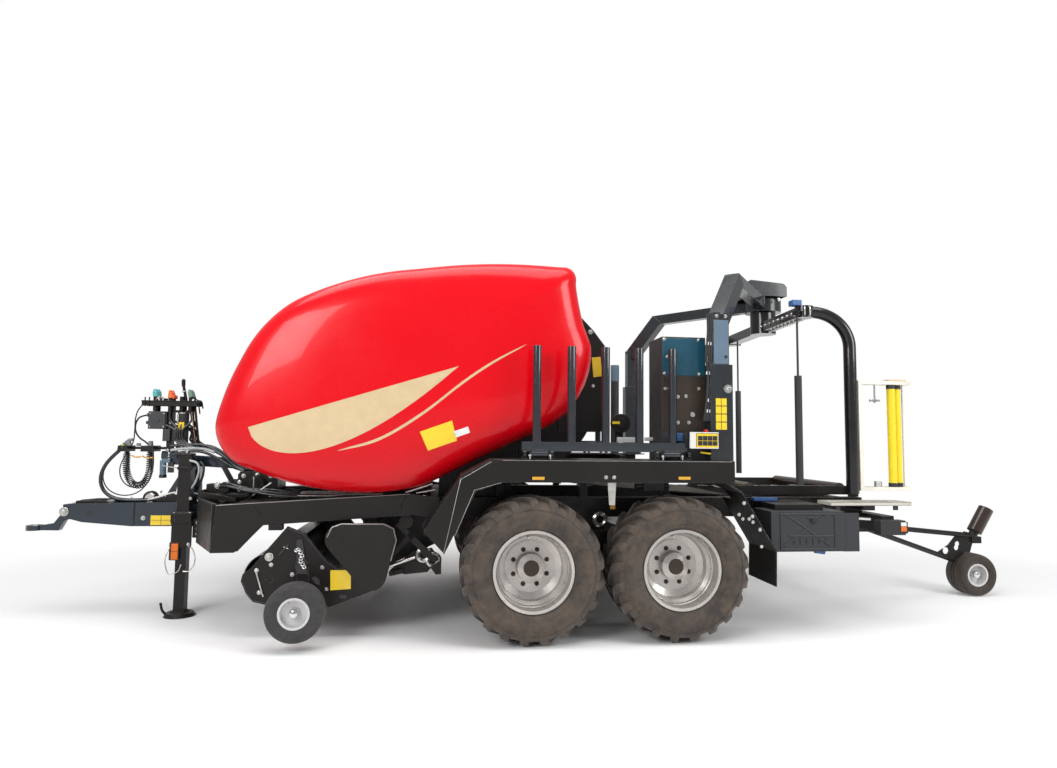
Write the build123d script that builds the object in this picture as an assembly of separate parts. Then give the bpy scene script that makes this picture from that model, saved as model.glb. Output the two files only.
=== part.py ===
"""Round baler-wrapper combination on a tandem axle.

Millimetres. +X is forward to the hitch eye, +Y is the machine's left, +Z is up and Z = 0 is the
ground. While modelling, X = 0 is the middle of the tandem axle; write() then shifts every piece
along X, so that the finished origin is the middle of the machine's footprint.
"""
import os
from math import atan2, cos, hypot, pi, radians, sin, tan

from build123d import *

os.makedirs("parts", exist_ok=True)

# ---------------------------------------------------------------- driving dimensions
FIT = 0.3                # running or seating gap between neighbouring pieces

TYRE_RADIUS = 535
TYRE_WIDTH = 520
TRACK = 2300             # between the middles of the left and right tyres
TYRE_GAP = 47            # between the tyres of one side
AXLE_SPACING = 2 * TYRE_RADIUS + TYRE_GAP
RIM_SEAT_RADIUS = 286
RIM_FLANGE_RADIUS = 299
RIM_WIDTH = 430
RIM_SHEET = 9
HUB_RADIUS = 108
STUB_RADIUS = 45         # axle stub that carries a hub

SMALL_TYRE_RADIUS = 205  # gauge wheels of the pick-up and the turner's wheel
SMALL_RIM_RADIUS = 110
GAUGE_TYRE_WIDTH = 160
TURNER_TYRE_WIDTH = 235
SPINDLE_RADIUS = 16

CHAMBER_WIDTH = 1230     # width of the bale
CHAMBER_RADIUS = 640     # clear radius of the bale chamber
CHAMBER_X = 600
CHAMBER_Z = 1880
CHAMBER_WALL = 25
GATE_GAP = 8             # between the chamber's fixed half and the tailgate
GATE_HINGE_X = 760
GATE_HINGE_Z = 2620

COVER_INNER_Y = 700      # the side covers start here
COVER_SCALE_THICKNESS = 0.035   # wall of a side cover as a share of its outline
COVER_PIVOT_X = 750
COVER_PIVOT_Z = 2700

FENDER_CLEARANCE = 110   # tyre to the lower edge of the skirt
SKIRT_DEPTH = 165
DECK_SHEET = 10
FENDER_INNER_Y = 880
FENDER_OUTER_Y = 1360
DECK_TOP = 2 * TYRE_RADIUS + FENDER_CLEARANCE + SKIRT_DEPTH
DECK_FRONT_X = 876
DECK_REAR_X = -974

SIDE_BEAM_OUTER_Y = 950
SIDE_BEAM_WIDTH = 100
RAIL_TOP = 1020
RAIL_BOTTOM = 860
RAIL_Y = 690             # middle of a rear rail
RAIL_WIDTH = 100
RAIL_REAR_X = -2400
PIVOT_RADIUS = 60        # cross axle that carries the bogie beams
PIVOT_Z = 690

ROTOR_X = -1878          # axis of the wrapping rotor
ROTOR_SWING = 1345       # free radius kept around the rotor axis
ROTOR_SWEEP_BOTTOM = 1040
ROTOR_BEAM_Z = 2600
ARM_TUBE_RADIUS = 50
ARM_BOTTOM = 1076

MAST_X = -900
MAST_Y = 1240
SOCKET_HALF_LENGTH = 90
HUB_PLATE_BOTTOM = 2752

GEARBOX_X = (2640, 2960)
GEARBOX_Z = (960, 1185)
EYE_X = 4640             # middle of the hitch eye
EYE_Z = 700
EYE_BORE_RADIUS = 25     # 50 mm pin
EYE_OUTER_RADIUS = 65
EYE_THICKNESS = 41

PIN_RADIUS = 20          # hinge pins of the tailgate, covers and pick-up

TURNER_WHEEL_X = -4025
TURNER_ROLLER_FOOT = (-4079, 618)   # x and z of the low end of the turner's roller
TURNER_ROLLER_HEAD = (-4218, 842)
TURNER_ROLLER_RADIUS = 68
TURNER_HINGE = (-2590, 740)  # x and z of the turner's fold axis
TURNER_PIN_RADIUS = 16
TOOLBOX_TOP = 955
TRAY_Z = (975, 1003)
PICKUP_PIVOT_X = 1780
PICKUP_PIVOT_Z = 620
PICKUP_HALF_WIDTH = 960

FRONT_END = EYE_X + EYE_OUTER_RADIUS
ROLLER_LEAN = atan2(TURNER_ROLLER_FOOT[0] - TURNER_ROLLER_HEAD[0],
                    TURNER_ROLLER_HEAD[1] - TURNER_ROLLER_FOOT[1])
REAR_END = TURNER_ROLLER_HEAD[0] - TURNER_ROLLER_RADIUS * cos(ROLLER_LEAN)
SHIFT_X = -(FRONT_END + REAR_END) / 2


# ---------------------------------------------------------------- shape helpers
def block(x, y, z):
    """Box between the low and high values on each axis."""
    sizes = [high - low for low, high in (x, y, z)]
    middle = [(low + high) / 2 for low, high in (x, y, z)]
    return Pos(*middle) * Box(*sizes)


def plate_xz(outline, y):
    """Plate with an (x, z) outline between two y values."""
    face = Face(Wire.make_polygon([(px, y[0], pz) for px, pz in outline], close=True))
    return Solid.extrude(face, Vector(0, y[1] - y[0], 0))


def plate_xy(outline, z):
    """Plate with an (x, y) outline between two z values."""
    face = Face(Wire.make_polygon([(px, py, z[0]) for px, py in outline], close=True))
    return Solid.extrude(face, Vector(0, 0, z[1] - z[0]))


def band(path, thickness, y):
    """Folded sheet between two y values: path is its (x, z) face, the sheet lies on its right."""
    inner = []
    for i, (px, pz) in enumerate(path):
        normals = []
        for a, b in ((i - 1, i), (i, i + 1)):
            if a >= 0 and b < len(path):
                run_x = path[b][0] - path[a][0]
                run_z = path[b][1] - path[a][1]
                length = hypot(run_x, run_z)
                normals.append((run_z / length, -run_x / length))
        nx = sum(n[0] for n in normals) / len(normals)
        nz = sum(n[1] for n in normals) / len(normals)
        scale = thickness / (nx * nx + nz * nz)
        inner.append((px + nx * scale, pz + nz * scale))
    return plate_xz(list(path) + inner[::-1], y)


def rod(start, end, radius):
    """Round bar from one point to another."""
    axis = Vector(*end) - Vector(*start)
    bar = Cylinder(radius, axis.length, align=(Align.CENTER, Align.CENTER, Align.MIN))
    return Plane(origin=start, z_dir=axis) * bar


def beam(start, end, width, depth):
    """Box section from one point to another; its width is level."""
    axis = Vector(*end) - Vector(*start)
    level = Vector(0, 0, 1).cross(axis)
    bar = Box(width, depth, axis.length, align=(Align.CENTER, Align.CENTER, Align.MIN))
    return Plane(origin=start, x_dir=level, z_dir=axis) * bar


def turned(profile, x, y, z, side=1):
    """Ring turned about the Y direction from a (y, radius) profile; side -1 mirrors it."""
    face = Face(Wire.make_polygon([(0, side * py, radius) for py, radius in profile], close=True))
    return Pos(x, y, z) * Solid.revolve(face, 360, Axis.Y)


def bent_tube(points, radii, radius):
    """Round tube along straight runs joined by arcs."""
    path = FilletPolyline(*points, radius=radii)
    section = Plane(origin=path @ 0, z_dir=path % 0) * Circle(radius)
    return sweep(section, path=path)


def join(*pieces):
    """One solid from pieces that overlap or touch."""
    return Part() + list(pieces)


def cut(body, *tools):
    """The body less the tools."""
    return Part() + body - list(tools)


def right(shape):
    """The same piece on the machine's right."""
    return mirror(shape, about=Plane.XZ)


def write(name, *solids):
    """Write one node from solids that do not touch."""
    body = solids[0] if len(solids) == 1 else Compound([s for piece in solids for s in piece.solids()])
    export_step(Pos(SHIFT_X, 0, 0) * body, f"parts/{name}.step")


# ---------------------------------------------------------------- main wheels
# share of half the width, share of the section height
TYRE_SECTION = ((0.96, 0.28), (1.0, 0.5), (0.96, 0.8), (0.86, 0.95), (0.62, 1.0))


def tyre_ring(radius, width, seat, flange, bead_y, x, y, z):
    """Plain tyre; its beads stand bead_y each side of the middle, below the rim's flanges."""
    height = radius - seat
    half = [(bead_y, seat), (bead_y, flange + 1)]
    half += [(share * width / 2, seat + rise * height) for share, rise in TYRE_SECTION]
    profile = half + [(-py, pr) for py, pr in reversed(half)]
    return turned(profile, x, y, z)


def main_rim(x, y, side):
    """Deep dished rim with its disc, and the hub that bears on the stub."""
    half = RIM_WIDTH / 2
    flange = 12
    drop = 38
    seat = RIM_SEAT_RADIUS
    outer = [(-half, RIM_FLANGE_RADIUS), (-half + flange, RIM_FLANGE_RADIUS), (-half + flange, seat),
             (-110, seat), (-80, seat - drop), (60, seat - drop), (100, seat),
             (half - flange, seat), (half - flange, RIM_FLANGE_RADIUS), (half, RIM_FLANGE_RADIUS)]
    inner = [(half, seat - RIM_SHEET), (104, seat - RIM_SHEET), (64, seat - drop - RIM_SHEET),
             (-84, seat - drop - RIM_SHEET), (-114, seat - RIM_SHEET), (-half, seat - RIM_SHEET)]
    barrel = turned(outer + inner, x, y, TYRE_RADIUS, side)
    disc_y = (-36, -20)
    disc = turned([(disc_y[0], HUB_RADIUS + FIT), (disc_y[1], HUB_RADIUS + FIT),
                   (disc_y[1], 190), (disc_y[1] + 25, seat - drop - 4), (disc_y[0] + 20, seat - drop - 4),
                   (disc_y[0], 190)], x, y, TYRE_RADIUS, side)
    hub = turned([(-150, STUB_RADIUS + FIT), (-30, STUB_RADIUS + FIT), (-30, 0.0), (52, 0.0),
                  (60, 60), (45, HUB_RADIUS - 4), (-20, HUB_RADIUS), (disc_y[0] - FIT, HUB_RADIUS),
                  (disc_y[0] - FIT, 165), (-60, 165), (-60, HUB_RADIUS), (-150, HUB_RADIUS - 8)],
                 x, y, TYRE_RADIUS, side)
    return join(barrel, disc), hub


# name, x of the axle, side
MAIN_WHEELS = (("front_left", 0.5, 1), ("front_right", 0.5, -1), ("rear_left", -0.5, 1),
               ("rear_right", -0.5, -1))
for name, share, side in MAIN_WHEELS:
    axle_x = share * AXLE_SPACING
    wheel_y = side * TRACK / 2
    bead = RIM_WIDTH / 2 - 12 - FIT
    tyre = tyre_ring(TYRE_RADIUS, TYRE_WIDTH, RIM_SEAT_RADIUS + FIT, RIM_FLANGE_RADIUS, bead, axle_x,
                     wheel_y, TYRE_RADIUS)
    write(f"tyre_{name}", tyre)
    write(f"rim_{name}", *main_rim(axle_x, wheel_y, side))


# ---------------------------------------------------------------- small wheels
def small_rim(width, x, y, z, side):
    """One-piece 8 inch rim with its hub tube."""
    half = width / 2
    r = SMALL_RIM_RADIUS
    outer = [(-half, r), (-half + 8, r), (-half + 8, r - 10), (half - 8, r - 10), (half - 8, r), (half, r)]
    inner = [(half, r - 16), (14, r - 16), (10, 34), (half - 10, 30), (half - 10, SPINDLE_RADIUS + FIT),
             (-half + 5, SPINDLE_RADIUS + FIT), (-half + 5, 30), (-2, 34), (2, r - 16), (-half, r - 16)]
    return turned(outer + inner, x, y, z, side)


def small_tyre(tyre_width, rim_width, x, y, z):
    """Tyre of a small wheel."""
    bead = rim_width / 2 - 8 - FIT
    return tyre_ring(SMALL_TYRE_RADIUS, tyre_width, SMALL_RIM_RADIUS - 10 + FIT, SMALL_RIM_RADIUS, bead, x,
                     y, z)


GAUGE_X = 2233
GAUGE_Z = 272
GAUGE_Y = 1300
GAUGE_RIM_WIDTH = 125
for name, side in (("left", 1), ("right", -1)):
    write(f"gauge_tyre_{name}", small_tyre(GAUGE_TYRE_WIDTH, GAUGE_RIM_WIDTH, GAUGE_X, side * GAUGE_Y,
                                           GAUGE_Z))
    write(f"gauge_rim_{name}", small_rim(GAUGE_RIM_WIDTH, GAUGE_X, side * GAUGE_Y, GAUGE_Z, side))

TURNER_RIM_WIDTH = 190
write("turner_tyre", small_tyre(TURNER_TYRE_WIDTH, TURNER_RIM_WIDTH, TURNER_WHEEL_X, 0, SMALL_TYRE_RADIUS))
write("turner_rim", small_rim(TURNER_RIM_WIDTH, TURNER_WHEEL_X, 0, SMALL_TYRE_RADIUS, 1))

# ---------------------------------------------------------------- tandem axle
BOGIE_INNER_Y = 760
BOGIE_OUTER_Y = 850
wheel_x = AXLE_SPACING / 2
BOGIE_OUTLINE = ((-wheel_x - 70, TYRE_RADIUS - 55), (-wheel_x + 60, TYRE_RADIUS - 70),
                 (wheel_x - 60, TYRE_RADIUS - 70),
                 (wheel_x + 70, TYRE_RADIUS - 55), (wheel_x + 70, TYRE_RADIUS + 55), (120, PIVOT_Z + 75),
                 (-120, PIVOT_Z + 75), (-wheel_x - 70, TYRE_RADIUS + 55))
bogie_left = plate_xz(BOGIE_OUTLINE, (BOGIE_INNER_Y, BOGIE_OUTER_Y))
stub_end = TRACK / 2 - 32
stubs = [rod((x, BOGIE_OUTER_Y - 10, TYRE_RADIUS), (x, stub_end, TYRE_RADIUS), STUB_RADIUS)
         for x in (-wheel_x, wheel_x)]
half_axle = join(bogie_left, *stubs, rod((0, -1, PIVOT_Z), (0, BOGIE_OUTER_Y - 10, PIVOT_Z), PIVOT_RADIUS))
write("tandem_axle", join(half_axle, right(half_axle)))

# ---------------------------------------------------------------- chassis
SIDE_BEAM_OUTLINE = ((2930, 626), (2760, 628), (2567, 828), (1446, 902), (1250, 880), (1250, 1030),
                     (1474, 1062), (2900, 976))
side_beam = plate_xz(SIDE_BEAM_OUTLINE, (SIDE_BEAM_OUTER_Y - SIDE_BEAM_WIDTH, SIDE_BEAM_OUTER_Y))
NOSE_X = 3200            # front face of the chassis
NOSE_HALF_WIDTH = 430
NOSE_SHEET = 22
slant = plate_xy(((2930, SIDE_BEAM_OUTER_Y), (NOSE_X, NOSE_HALF_WIDTH),
                  (NOSE_X - NOSE_SHEET, NOSE_HALF_WIDTH - 12),
                  (2900, SIDE_BEAM_OUTER_Y - 20)), (630, 985))
nose = block((NOSE_X - NOSE_SHEET, NOSE_X), (-1, NOSE_HALF_WIDTH), (630, 1045))
cross_front = block((1250, 1370), (-1, SIDE_BEAM_OUTER_Y - 50), (905, RAIL_TOP))
rail = block((RAIL_REAR_X, 1300), (RAIL_Y - RAIL_WIDTH / 2, RAIL_Y + RAIL_WIDTH / 2),
             (RAIL_BOTTOM, RAIL_TOP))
pedestal = cut(block((-110, 110), (RAIL_Y - RAIL_WIDTH / 2, RAIL_Y + RAIL_WIDTH / 2),
                     (PIVOT_Z - 90, RAIL_BOTTOM)),
               rod((0, RAIL_Y - RAIL_WIDTH, PIVOT_Z), (0, RAIL_Y + RAIL_WIDTH, PIVOT_Z),
                   PIVOT_RADIUS + FIT))
RAMP_PATH = ((400, 1165), (-250, 1095), (-1240, 1032))  # x and z of the transfer ramp's top
RAMP_SHEET = 10
# low x, high x and top z of each rear cross member between the rails
REAR_CROSSES = ((-1240, -1140, RAMP_PATH[-1][1] - RAMP_SHEET - FIT),
                (RAIL_REAR_X, RAIL_REAR_X + 90, RAIL_TOP - 20))
HOUSING_FLOOR_Z = (1250, 1270)
HOUSING_REAR_X = CHAMBER_X + CHAMBER_RADIUS + CHAMBER_WALL + 60
CHAIN_COVER_Y = (985, 1045)
gear_cross = block((GEARBOX_X[0] + 60, GEARBOX_X[0] + 220), (-1, SIDE_BEAM_OUTER_Y - 50),
                   (GEARBOX_Z[0] - 90, GEARBOX_Z[0] - FIT))
pickup_pin = rod((PICKUP_PIVOT_X, SIDE_BEAM_OUTER_Y - 60, PICKUP_PIVOT_Z),
                 (PICKUP_PIVOT_X, CHAIN_COVER_Y[0] - FIT, PICKUP_PIVOT_Z), PIN_RADIUS)
pickup_hanger = block((PICKUP_PIVOT_X - 50, PICKUP_PIVOT_X + 50),
                      (SIDE_BEAM_OUTER_Y - 75, SIDE_BEAM_OUTER_Y - 50), (PICKUP_PIVOT_Z - 50, 885))
crosses = [block((low, high), (-1, RAIL_Y), (RAIL_BOTTOM, top)) for low, high, top in REAR_CROSSES]
housing_post = block((HOUSING_REAR_X, 1370), (600, 680), (RAIL_TOP - 5, HOUSING_FLOOR_Z[0] - FIT))
tail_beam = block((RAIL_REAR_X - 110, RAIL_REAR_X), (-1, 1010), (750, 890))
# x of the brackets that carry each fender from its rail
OUTRIGGERS = (760, 60, -640)
OUTRIGGER_WIDTH = 60
outriggers = []
for x in OUTRIGGERS:
    across = (x - OUTRIGGER_WIDTH / 2, x + OUTRIGGER_WIDTH / 2)
    outriggers.append(block(across, (RAIL_Y - 30, RAIL_Y + 30),
                            (RAIL_TOP - 5, DECK_TOP - DECK_SHEET - FIT)))
    outriggers.append(block(across, (RAIL_Y - 30, FENDER_OUTER_Y - 60),
                            (DECK_TOP - DECK_SHEET - 70, DECK_TOP - DECK_SHEET - FIT)))
toolbox_carrier = block((-1800, -1400), (RAIL_Y, 1150), (TOOLBOX_TOP + FIT, TOOLBOX_TOP + 45))
tray_carrier = block((-2350, -2250), (RAIL_Y, 1000), (935, TRAY_Z[0] - FIT))
turner_lugs = [block((TURNER_HINGE[0] - 35, RAIL_REAR_X - 100), (y - 8, y + 8),
                     (TURNER_HINGE[1] - 45, TURNER_HINGE[1] + 45)) for y in (120, 520)]
turner_pin = rod((TURNER_HINGE[0], 112, TURNER_HINGE[1]), (TURNER_HINGE[0], 528, TURNER_HINGE[1]),
                 TURNER_PIN_RADIUS)
half_frame = join(side_beam, gear_cross, pickup_pin, pickup_hanger, slant, nose, cross_front, rail,
                  pedestal, *crosses, tail_beam, housing_post, *outriggers, toolbox_carrier, tray_carrier)
write("main_frame", join(half_frame, right(half_frame), *turner_lugs, turner_pin))

# ---------------------------------------------------------------- drawbar and hitch eye
DRAWBAR_HALF_WIDTH = 120
DRAWBAR_OUTLINE = ((NOSE_X, 722), (3830, 722), (4220, 758), (4370, 800), (4370, 905), (4310, 912),
                   (NOSE_X, 930))
EYE_CHEEK_GAP = 60       # between the head's cheeks
drawbar_body = plate_xz(DRAWBAR_OUTLINE, (-DRAWBAR_HALF_WIDTH, DRAWBAR_HALF_WIDTH))
eye_slot = block((4290, 4400), (-EYE_CHEEK_GAP / 2, EYE_CHEEK_GAP / 2), (700, 1000))
JACK_X = 3370
JACK_Y = 215
JACK_SIZE = 100
JACK_WALL = 7
jack_bracket = block((JACK_X - 70, JACK_X + 70), (DRAWBAR_HALF_WIDTH - 1, JACK_Y - JACK_SIZE / 2 - FIT),
                     (740, 900))
ARM_Z = 1300             # upper hose arm behind the jack
riser = block((JACK_X - 50, JACK_X + 30), (-40, 40), (928, ARM_Z))
upper_arm = beam((JACK_X + 190, 0, ARM_Z - 15), (GEARBOX_X[0] + 120, 0, GEARBOX_Z[1] + 50), 80, 90)
stay = beam((3600, 0, 925), (3420, 0, ARM_Z - 60), 50, 40)
MAST_FOOT_X = 3590       # middle of the hose mast
MAST_SEAT_Z = ARM_Z + 40
mast_seat = block((MAST_FOOT_X - 80, MAST_FOOT_X + 50), (-55, 55), (ARM_Z - 10, MAST_SEAT_Z))
PORT_X = 3600            # front face of the hose port on the drawbar
hose_port = block((PORT_X - 60, PORT_X + 12), (30, 82), (915, 966))
write("drawbar", join(cut(drawbar_body, eye_slot), jack_bracket, riser, upper_arm, stay, mast_seat,
                      hose_port))

eye_ring = Pos(EYE_X, 0, EYE_Z) * Cylinder(EYE_OUTER_RADIUS, EYE_THICKNESS)
eye_shank = plate_xz(((4600, EYE_Z - 19), (4600, EYE_Z + 19), (4480, EYE_Z + 40), (4380, 880),
                      (4300 + FIT, 880), (4300 + FIT, 800), (4400, 755), (4440, EYE_Z - 22)),
                     (-EYE_CHEEK_GAP / 2 + FIT, EYE_CHEEK_GAP / 2 - FIT))
eye_bore = Pos(EYE_X, 0, EYE_Z) * Cylinder(EYE_BORE_RADIUS, 3 * EYE_THICKNESS)
write("hitch_eye", cut(join(eye_ring, eye_shank), eye_bore))

# ---------------------------------------------------------------- parking jack
JACK_TOP = 1342
JACK_TUBE_BOTTOM = 560
square = (JACK_SIZE / 2, JACK_SIZE / 2 - JACK_WALL)
jack_tube = cut(block((JACK_X - square[0], JACK_X + square[0]), (JACK_Y - square[0], JACK_Y + square[0]),
                      (JACK_TUBE_BOTTOM, JACK_TOP)),
                block((JACK_X - square[1], JACK_X + square[1]), (JACK_Y - square[1], JACK_Y + square[1]),
                      (JACK_TUBE_BOTTOM - 1, JACK_TOP - 12)))
write("jack_tube", jack_tube)
leg_half = square[1] - 2 * FIT
FOOT_RADIUS = 125
leg = block((JACK_X - leg_half, JACK_X + leg_half), (JACK_Y - leg_half, JACK_Y + leg_half), (8, 900))
foot = Pos(JACK_X, JACK_Y, 0) * extrude(Circle(FOOT_RADIUS), amount=30, taper=35)
write("jack_leg", join(leg, foot))

# ---------------------------------------------------------------- bale chamber and tailgate
DRUM_OUTER_RADIUS = CHAMBER_RADIUS + CHAMBER_WALL
DRUM_HALF_WIDTH = CHAMBER_WIDTH / 2 + 20


def drum(radius, half_width):
    """Cylinder across the machine at the chamber's middle."""
    return rod((CHAMBER_X, -half_width, CHAMBER_Z), (CHAMBER_X, half_width, CHAMBER_Z), radius)


FAR = 2000
ahead = block((CHAMBER_X + GATE_GAP / 2, CHAMBER_X + FAR), (-FAR, FAR), (0, 2 * FAR))
behind = block((CHAMBER_X - FAR, CHAMBER_X - GATE_GAP / 2), (-FAR, FAR), (0, 2 * FAR))
shell = cut(drum(DRUM_OUTER_RADIUS, DRUM_HALF_WIDTH), drum(CHAMBER_RADIUS, CHAMBER_WIDTH / 2))
INTAKE_TOP = CHAMBER_Z - 330
intake = block((CHAMBER_X + 300, CHAMBER_X + FAR), (-CHAMBER_WIDTH / 2 + 5, CHAMBER_WIDTH / 2 - 5),
               (1100, INTAKE_TOP))
foot_plate = plate_xz(((CHAMBER_X + 60, RAIL_TOP + FIT), (CHAMBER_X + 660, RAIL_TOP + FIT),
                       (CHAMBER_X + 620, CHAMBER_Z - 100),
                       (CHAMBER_X + 60, CHAMBER_Z - 500)), (DRUM_HALF_WIDTH - 22, DRUM_HALF_WIDTH))
LUG_Y = 430              # tailgate hinge lugs
LUG_WIDTH = 30
hinge_stand = plate_xz(((GATE_HINGE_X - 90, GATE_HINGE_Z - 130), (GATE_HINGE_X + 120, GATE_HINGE_Z - 130),
                        (GATE_HINGE_X + 45, GATE_HINGE_Z + 40), (GATE_HINGE_X - 45, GATE_HINGE_Z + 40)),
                       (LUG_Y + LUG_WIDTH + FIT, LUG_Y + 2 * LUG_WIDTH + FIT))
pin = rod((GATE_HINGE_X, LUG_Y - 15, GATE_HINGE_Z), (GATE_HINGE_X, LUG_Y + LUG_WIDTH + 30, GATE_HINGE_Z),
          PIN_RADIUS)
cover_pivot = rod((COVER_PIVOT_X, DRUM_HALF_WIDTH - 30, COVER_PIVOT_Z),
                  (COVER_PIVOT_X, COVER_INNER_Y + 70, COVER_PIVOT_Z), PIN_RADIUS)
pivot_plate = plate_xz(((COVER_PIVOT_X - 160, CHAMBER_Z + 560), (COVER_PIVOT_X + 160, CHAMBER_Z + 560),
                        (COVER_PIVOT_X + 50, COVER_PIVOT_Z + 45), (COVER_PIVOT_X - 50, COVER_PIVOT_Z + 45)),
                       (DRUM_HALF_WIDTH - 20, DRUM_HALF_WIDTH))
front_of_gap = block((CHAMBER_X - 10, CHAMBER_X + GATE_GAP / 2), (-FAR, FAR), (0, 2 * FAR))
fixed_half = cut(shell, behind, intake, front_of_gap)
chamber_extras = join(foot_plate, hinge_stand, pin, cover_pivot, pivot_plate)
write("chamber", cut(join(fixed_half, chamber_extras, right(chamber_extras)), behind))

gate_half = cut(shell, ahead, block((CHAMBER_X - GATE_GAP / 2, CHAMBER_X + 10), (-FAR, FAR), (0, 2 * FAR)))
LUG_EYE = 40             # half the height of the lug's round end
LUG_OUTLINE = ((CHAMBER_X - 170, GATE_HINGE_Z - 125), (CHAMBER_X - 20, GATE_HINGE_Z - 75),
               (GATE_HINGE_X, GATE_HINGE_Z - LUG_EYE), (GATE_HINGE_X + LUG_EYE, GATE_HINGE_Z),
               (GATE_HINGE_X, GATE_HINGE_Z + LUG_EYE), (CHAMBER_X - 120, GATE_HINGE_Z + 10))
lug_hole = rod((GATE_HINGE_X, LUG_Y - 10, GATE_HINGE_Z),
               (GATE_HINGE_X, LUG_Y + LUG_WIDTH + 10, GATE_HINGE_Z), PIN_RADIUS + FIT)
lug = cut(plate_xz(LUG_OUTLINE, (LUG_Y, LUG_Y + LUG_WIDTH)), lug_hole)
TAIL_PLATE = ((CHAMBER_X - 330, 1560), (CHAMBER_X - 700, 1560), (CHAMBER_X - 730, 1760),
              (CHAMBER_X - 732, 2297), (CHAMBER_X - 627, 2432), (CHAMBER_X - 513, 2549),
              (CHAMBER_X - 450, 2600), (CHAMBER_X - 330, 2440))
tail_plate = plate_xz(TAIL_PLATE, (DRUM_HALF_WIDTH - 1, DRUM_HALF_WIDTH + 14))
write("tailgate", join(gate_half, lug, right(lug), tail_plate, right(tail_plate)))

# ---------------------------------------------------------------- side covers
# Outline corners: x, z, then a point on the arc that leads to the next corner.
COVER_CORNERS = ((2935, 1580, 2875, 1385), (2667, 1245, 2290, 1123), (1850, 1071, 1580, 1085),
                 (1322, 1148, 905, 1356), (474, 1556, 165, 1810), (49, 2241, 80, 2330),
                 (115, 2418, 152, 2580), (182, 2760, 204, 2862), (300, 2887, 880, 2892),
                 (1442, 2828, 1930, 2733), (2378, 2547, 2600, 2350), (2765, 2080, 2870, 1830))
COVER_MIDDLE_X = 1480
COVER_MIDDLE_Z = 1980
# y of a section, its scale about the middle
COVER_SECTIONS = ((COVER_INNER_Y, 1.0), (930, 1.0), (1040, 0.965), (1120, 0.88), (1160, 0.74))


def cover_section(y, scale):
    """Closed outline of a side cover at one y."""
    def place(x, z):
        return (COVER_MIDDLE_X + scale * (x - COVER_MIDDLE_X), y,
                COVER_MIDDLE_Z + scale * (z - COVER_MIDDLE_Z))
    edges = []
    for i, (x, z, mid_x, mid_z) in enumerate(COVER_CORNERS):
        next_x, next_z = COVER_CORNERS[(i + 1) % len(COVER_CORNERS)][:2]
        edges.append(Edge.make_three_point_arc(place(x, z), place(mid_x, mid_z), place(next_x, next_z)))
    return Wire(edges)


outer_dome = Solid.make_loft([cover_section(y, s) for y, s in COVER_SECTIONS], ruled=True)
COVER_DEPTH = 28
hollow_sections = [cover_section(COVER_INNER_Y - 1, 1 - COVER_SCALE_THICKNESS)]
hollow_sections += [cover_section(y - COVER_DEPTH, s - COVER_SCALE_THICKNESS)
                    for y, s in COVER_SECTIONS[1:]]
inner_dome = Solid.make_loft(hollow_sections, ruled=True)
HANGER_OUTLINE = ((COVER_PIVOT_X - 70, COVER_PIVOT_Z - 60), (COVER_PIVOT_X + 70, COVER_PIVOT_Z - 60),
                  (COVER_PIVOT_X + 120, COVER_PIVOT_Z + 170), (COVER_PIVOT_X - 120, COVER_PIVOT_Z + 170))
hanger = cut(plate_xz(HANGER_OUTLINE, (COVER_INNER_Y + 10, COVER_INNER_Y + 30)),
             rod((COVER_PIVOT_X, COVER_INNER_Y, COVER_PIVOT_Z),
                 (COVER_PIVOT_X, COVER_INNER_Y + 100, COVER_PIVOT_Z), PIN_RADIUS + FIT))
cover_left = join(cut(outer_dome, inner_dome), hanger)
write("side_cover_left", cover_left)
write("side_cover_right", right(cover_left))

# ---------------------------------------------------------------- front housing between the covers
HOUSING_HALF_WIDTH = COVER_INNER_Y - 12


def across(scale):
    """The cover outline across the middle of the machine."""
    return Solid.extrude(Face(cover_section(-HOUSING_HALF_WIDTH, scale)),
                         Vector(0, 2 * HOUSING_HALF_WIDTH, 0))


keep = block((HOUSING_REAR_X, 4000), (-FAR, FAR), (1250, 4000))
housing_shell = cut(across(0.95), across(0.93))
cheeks = cut(across(0.94), block((0, 4000), (-HOUSING_HALF_WIDTH + 12, HOUSING_HALF_WIDTH - 12), (0, 4000)))
housing_floor = block((HOUSING_REAR_X, 2560), (-HOUSING_HALF_WIDTH, HOUSING_HALF_WIDTH), HOUSING_FLOOR_Z)
write("front_housing", join(housing_shell & keep, cheeks & keep, housing_floor))

# ---------------------------------------------------------------- drive
PTO_RADIUS = 17.45       # 1 3/8 inch splined shaft
PTO_Y = -110             # beside the hose arms on the drawbar
PTO_Z = 1090
GEARBOX_Y = (-175, 150)
gear_body = block(GEARBOX_X, GEARBOX_Y, GEARBOX_Z)
pto = rod((GEARBOX_X[1] - 5, PTO_Y, PTO_Z), (GEARBOX_X[1] + 115, PTO_Y, PTO_Z), PTO_RADIUS)
collar = rod((GEARBOX_X[1] - 5, PTO_Y, PTO_Z), (GEARBOX_X[1] + 25, PTO_Y, PTO_Z), 55)
write("gearbox", join(gear_body, collar, pto))

FEED_OUTLINE = ((1270, 640), (1640, 470), (1735, 560), (1640, 880), (1500, 1120), (1385, 1120),
                (1385, 880), (1270, 880))
write("feed_housing", plate_xz(FEED_OUTLINE, (-640, 640)))

CHAIN_COVER_RADIUS = 110
CHAIN_COVER_CORES = ((1978, 736), (1678, 736), (1742, 462))
chain_face = Face(Wire.make_polygon([(x, 0, z) for x, z in CHAIN_COVER_CORES], close=True))
chain_cover = Solid.extrude(offset(chain_face, CHAIN_COVER_RADIUS).face(),
                            Vector(0, CHAIN_COVER_Y[1] - CHAIN_COVER_Y[0], 0))
chain_left = Pos(0, CHAIN_COVER_Y[0] - chain_cover.bounding_box().min.Y, 0) * chain_cover
write("chain_covers", chain_left, right(chain_left))

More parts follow.
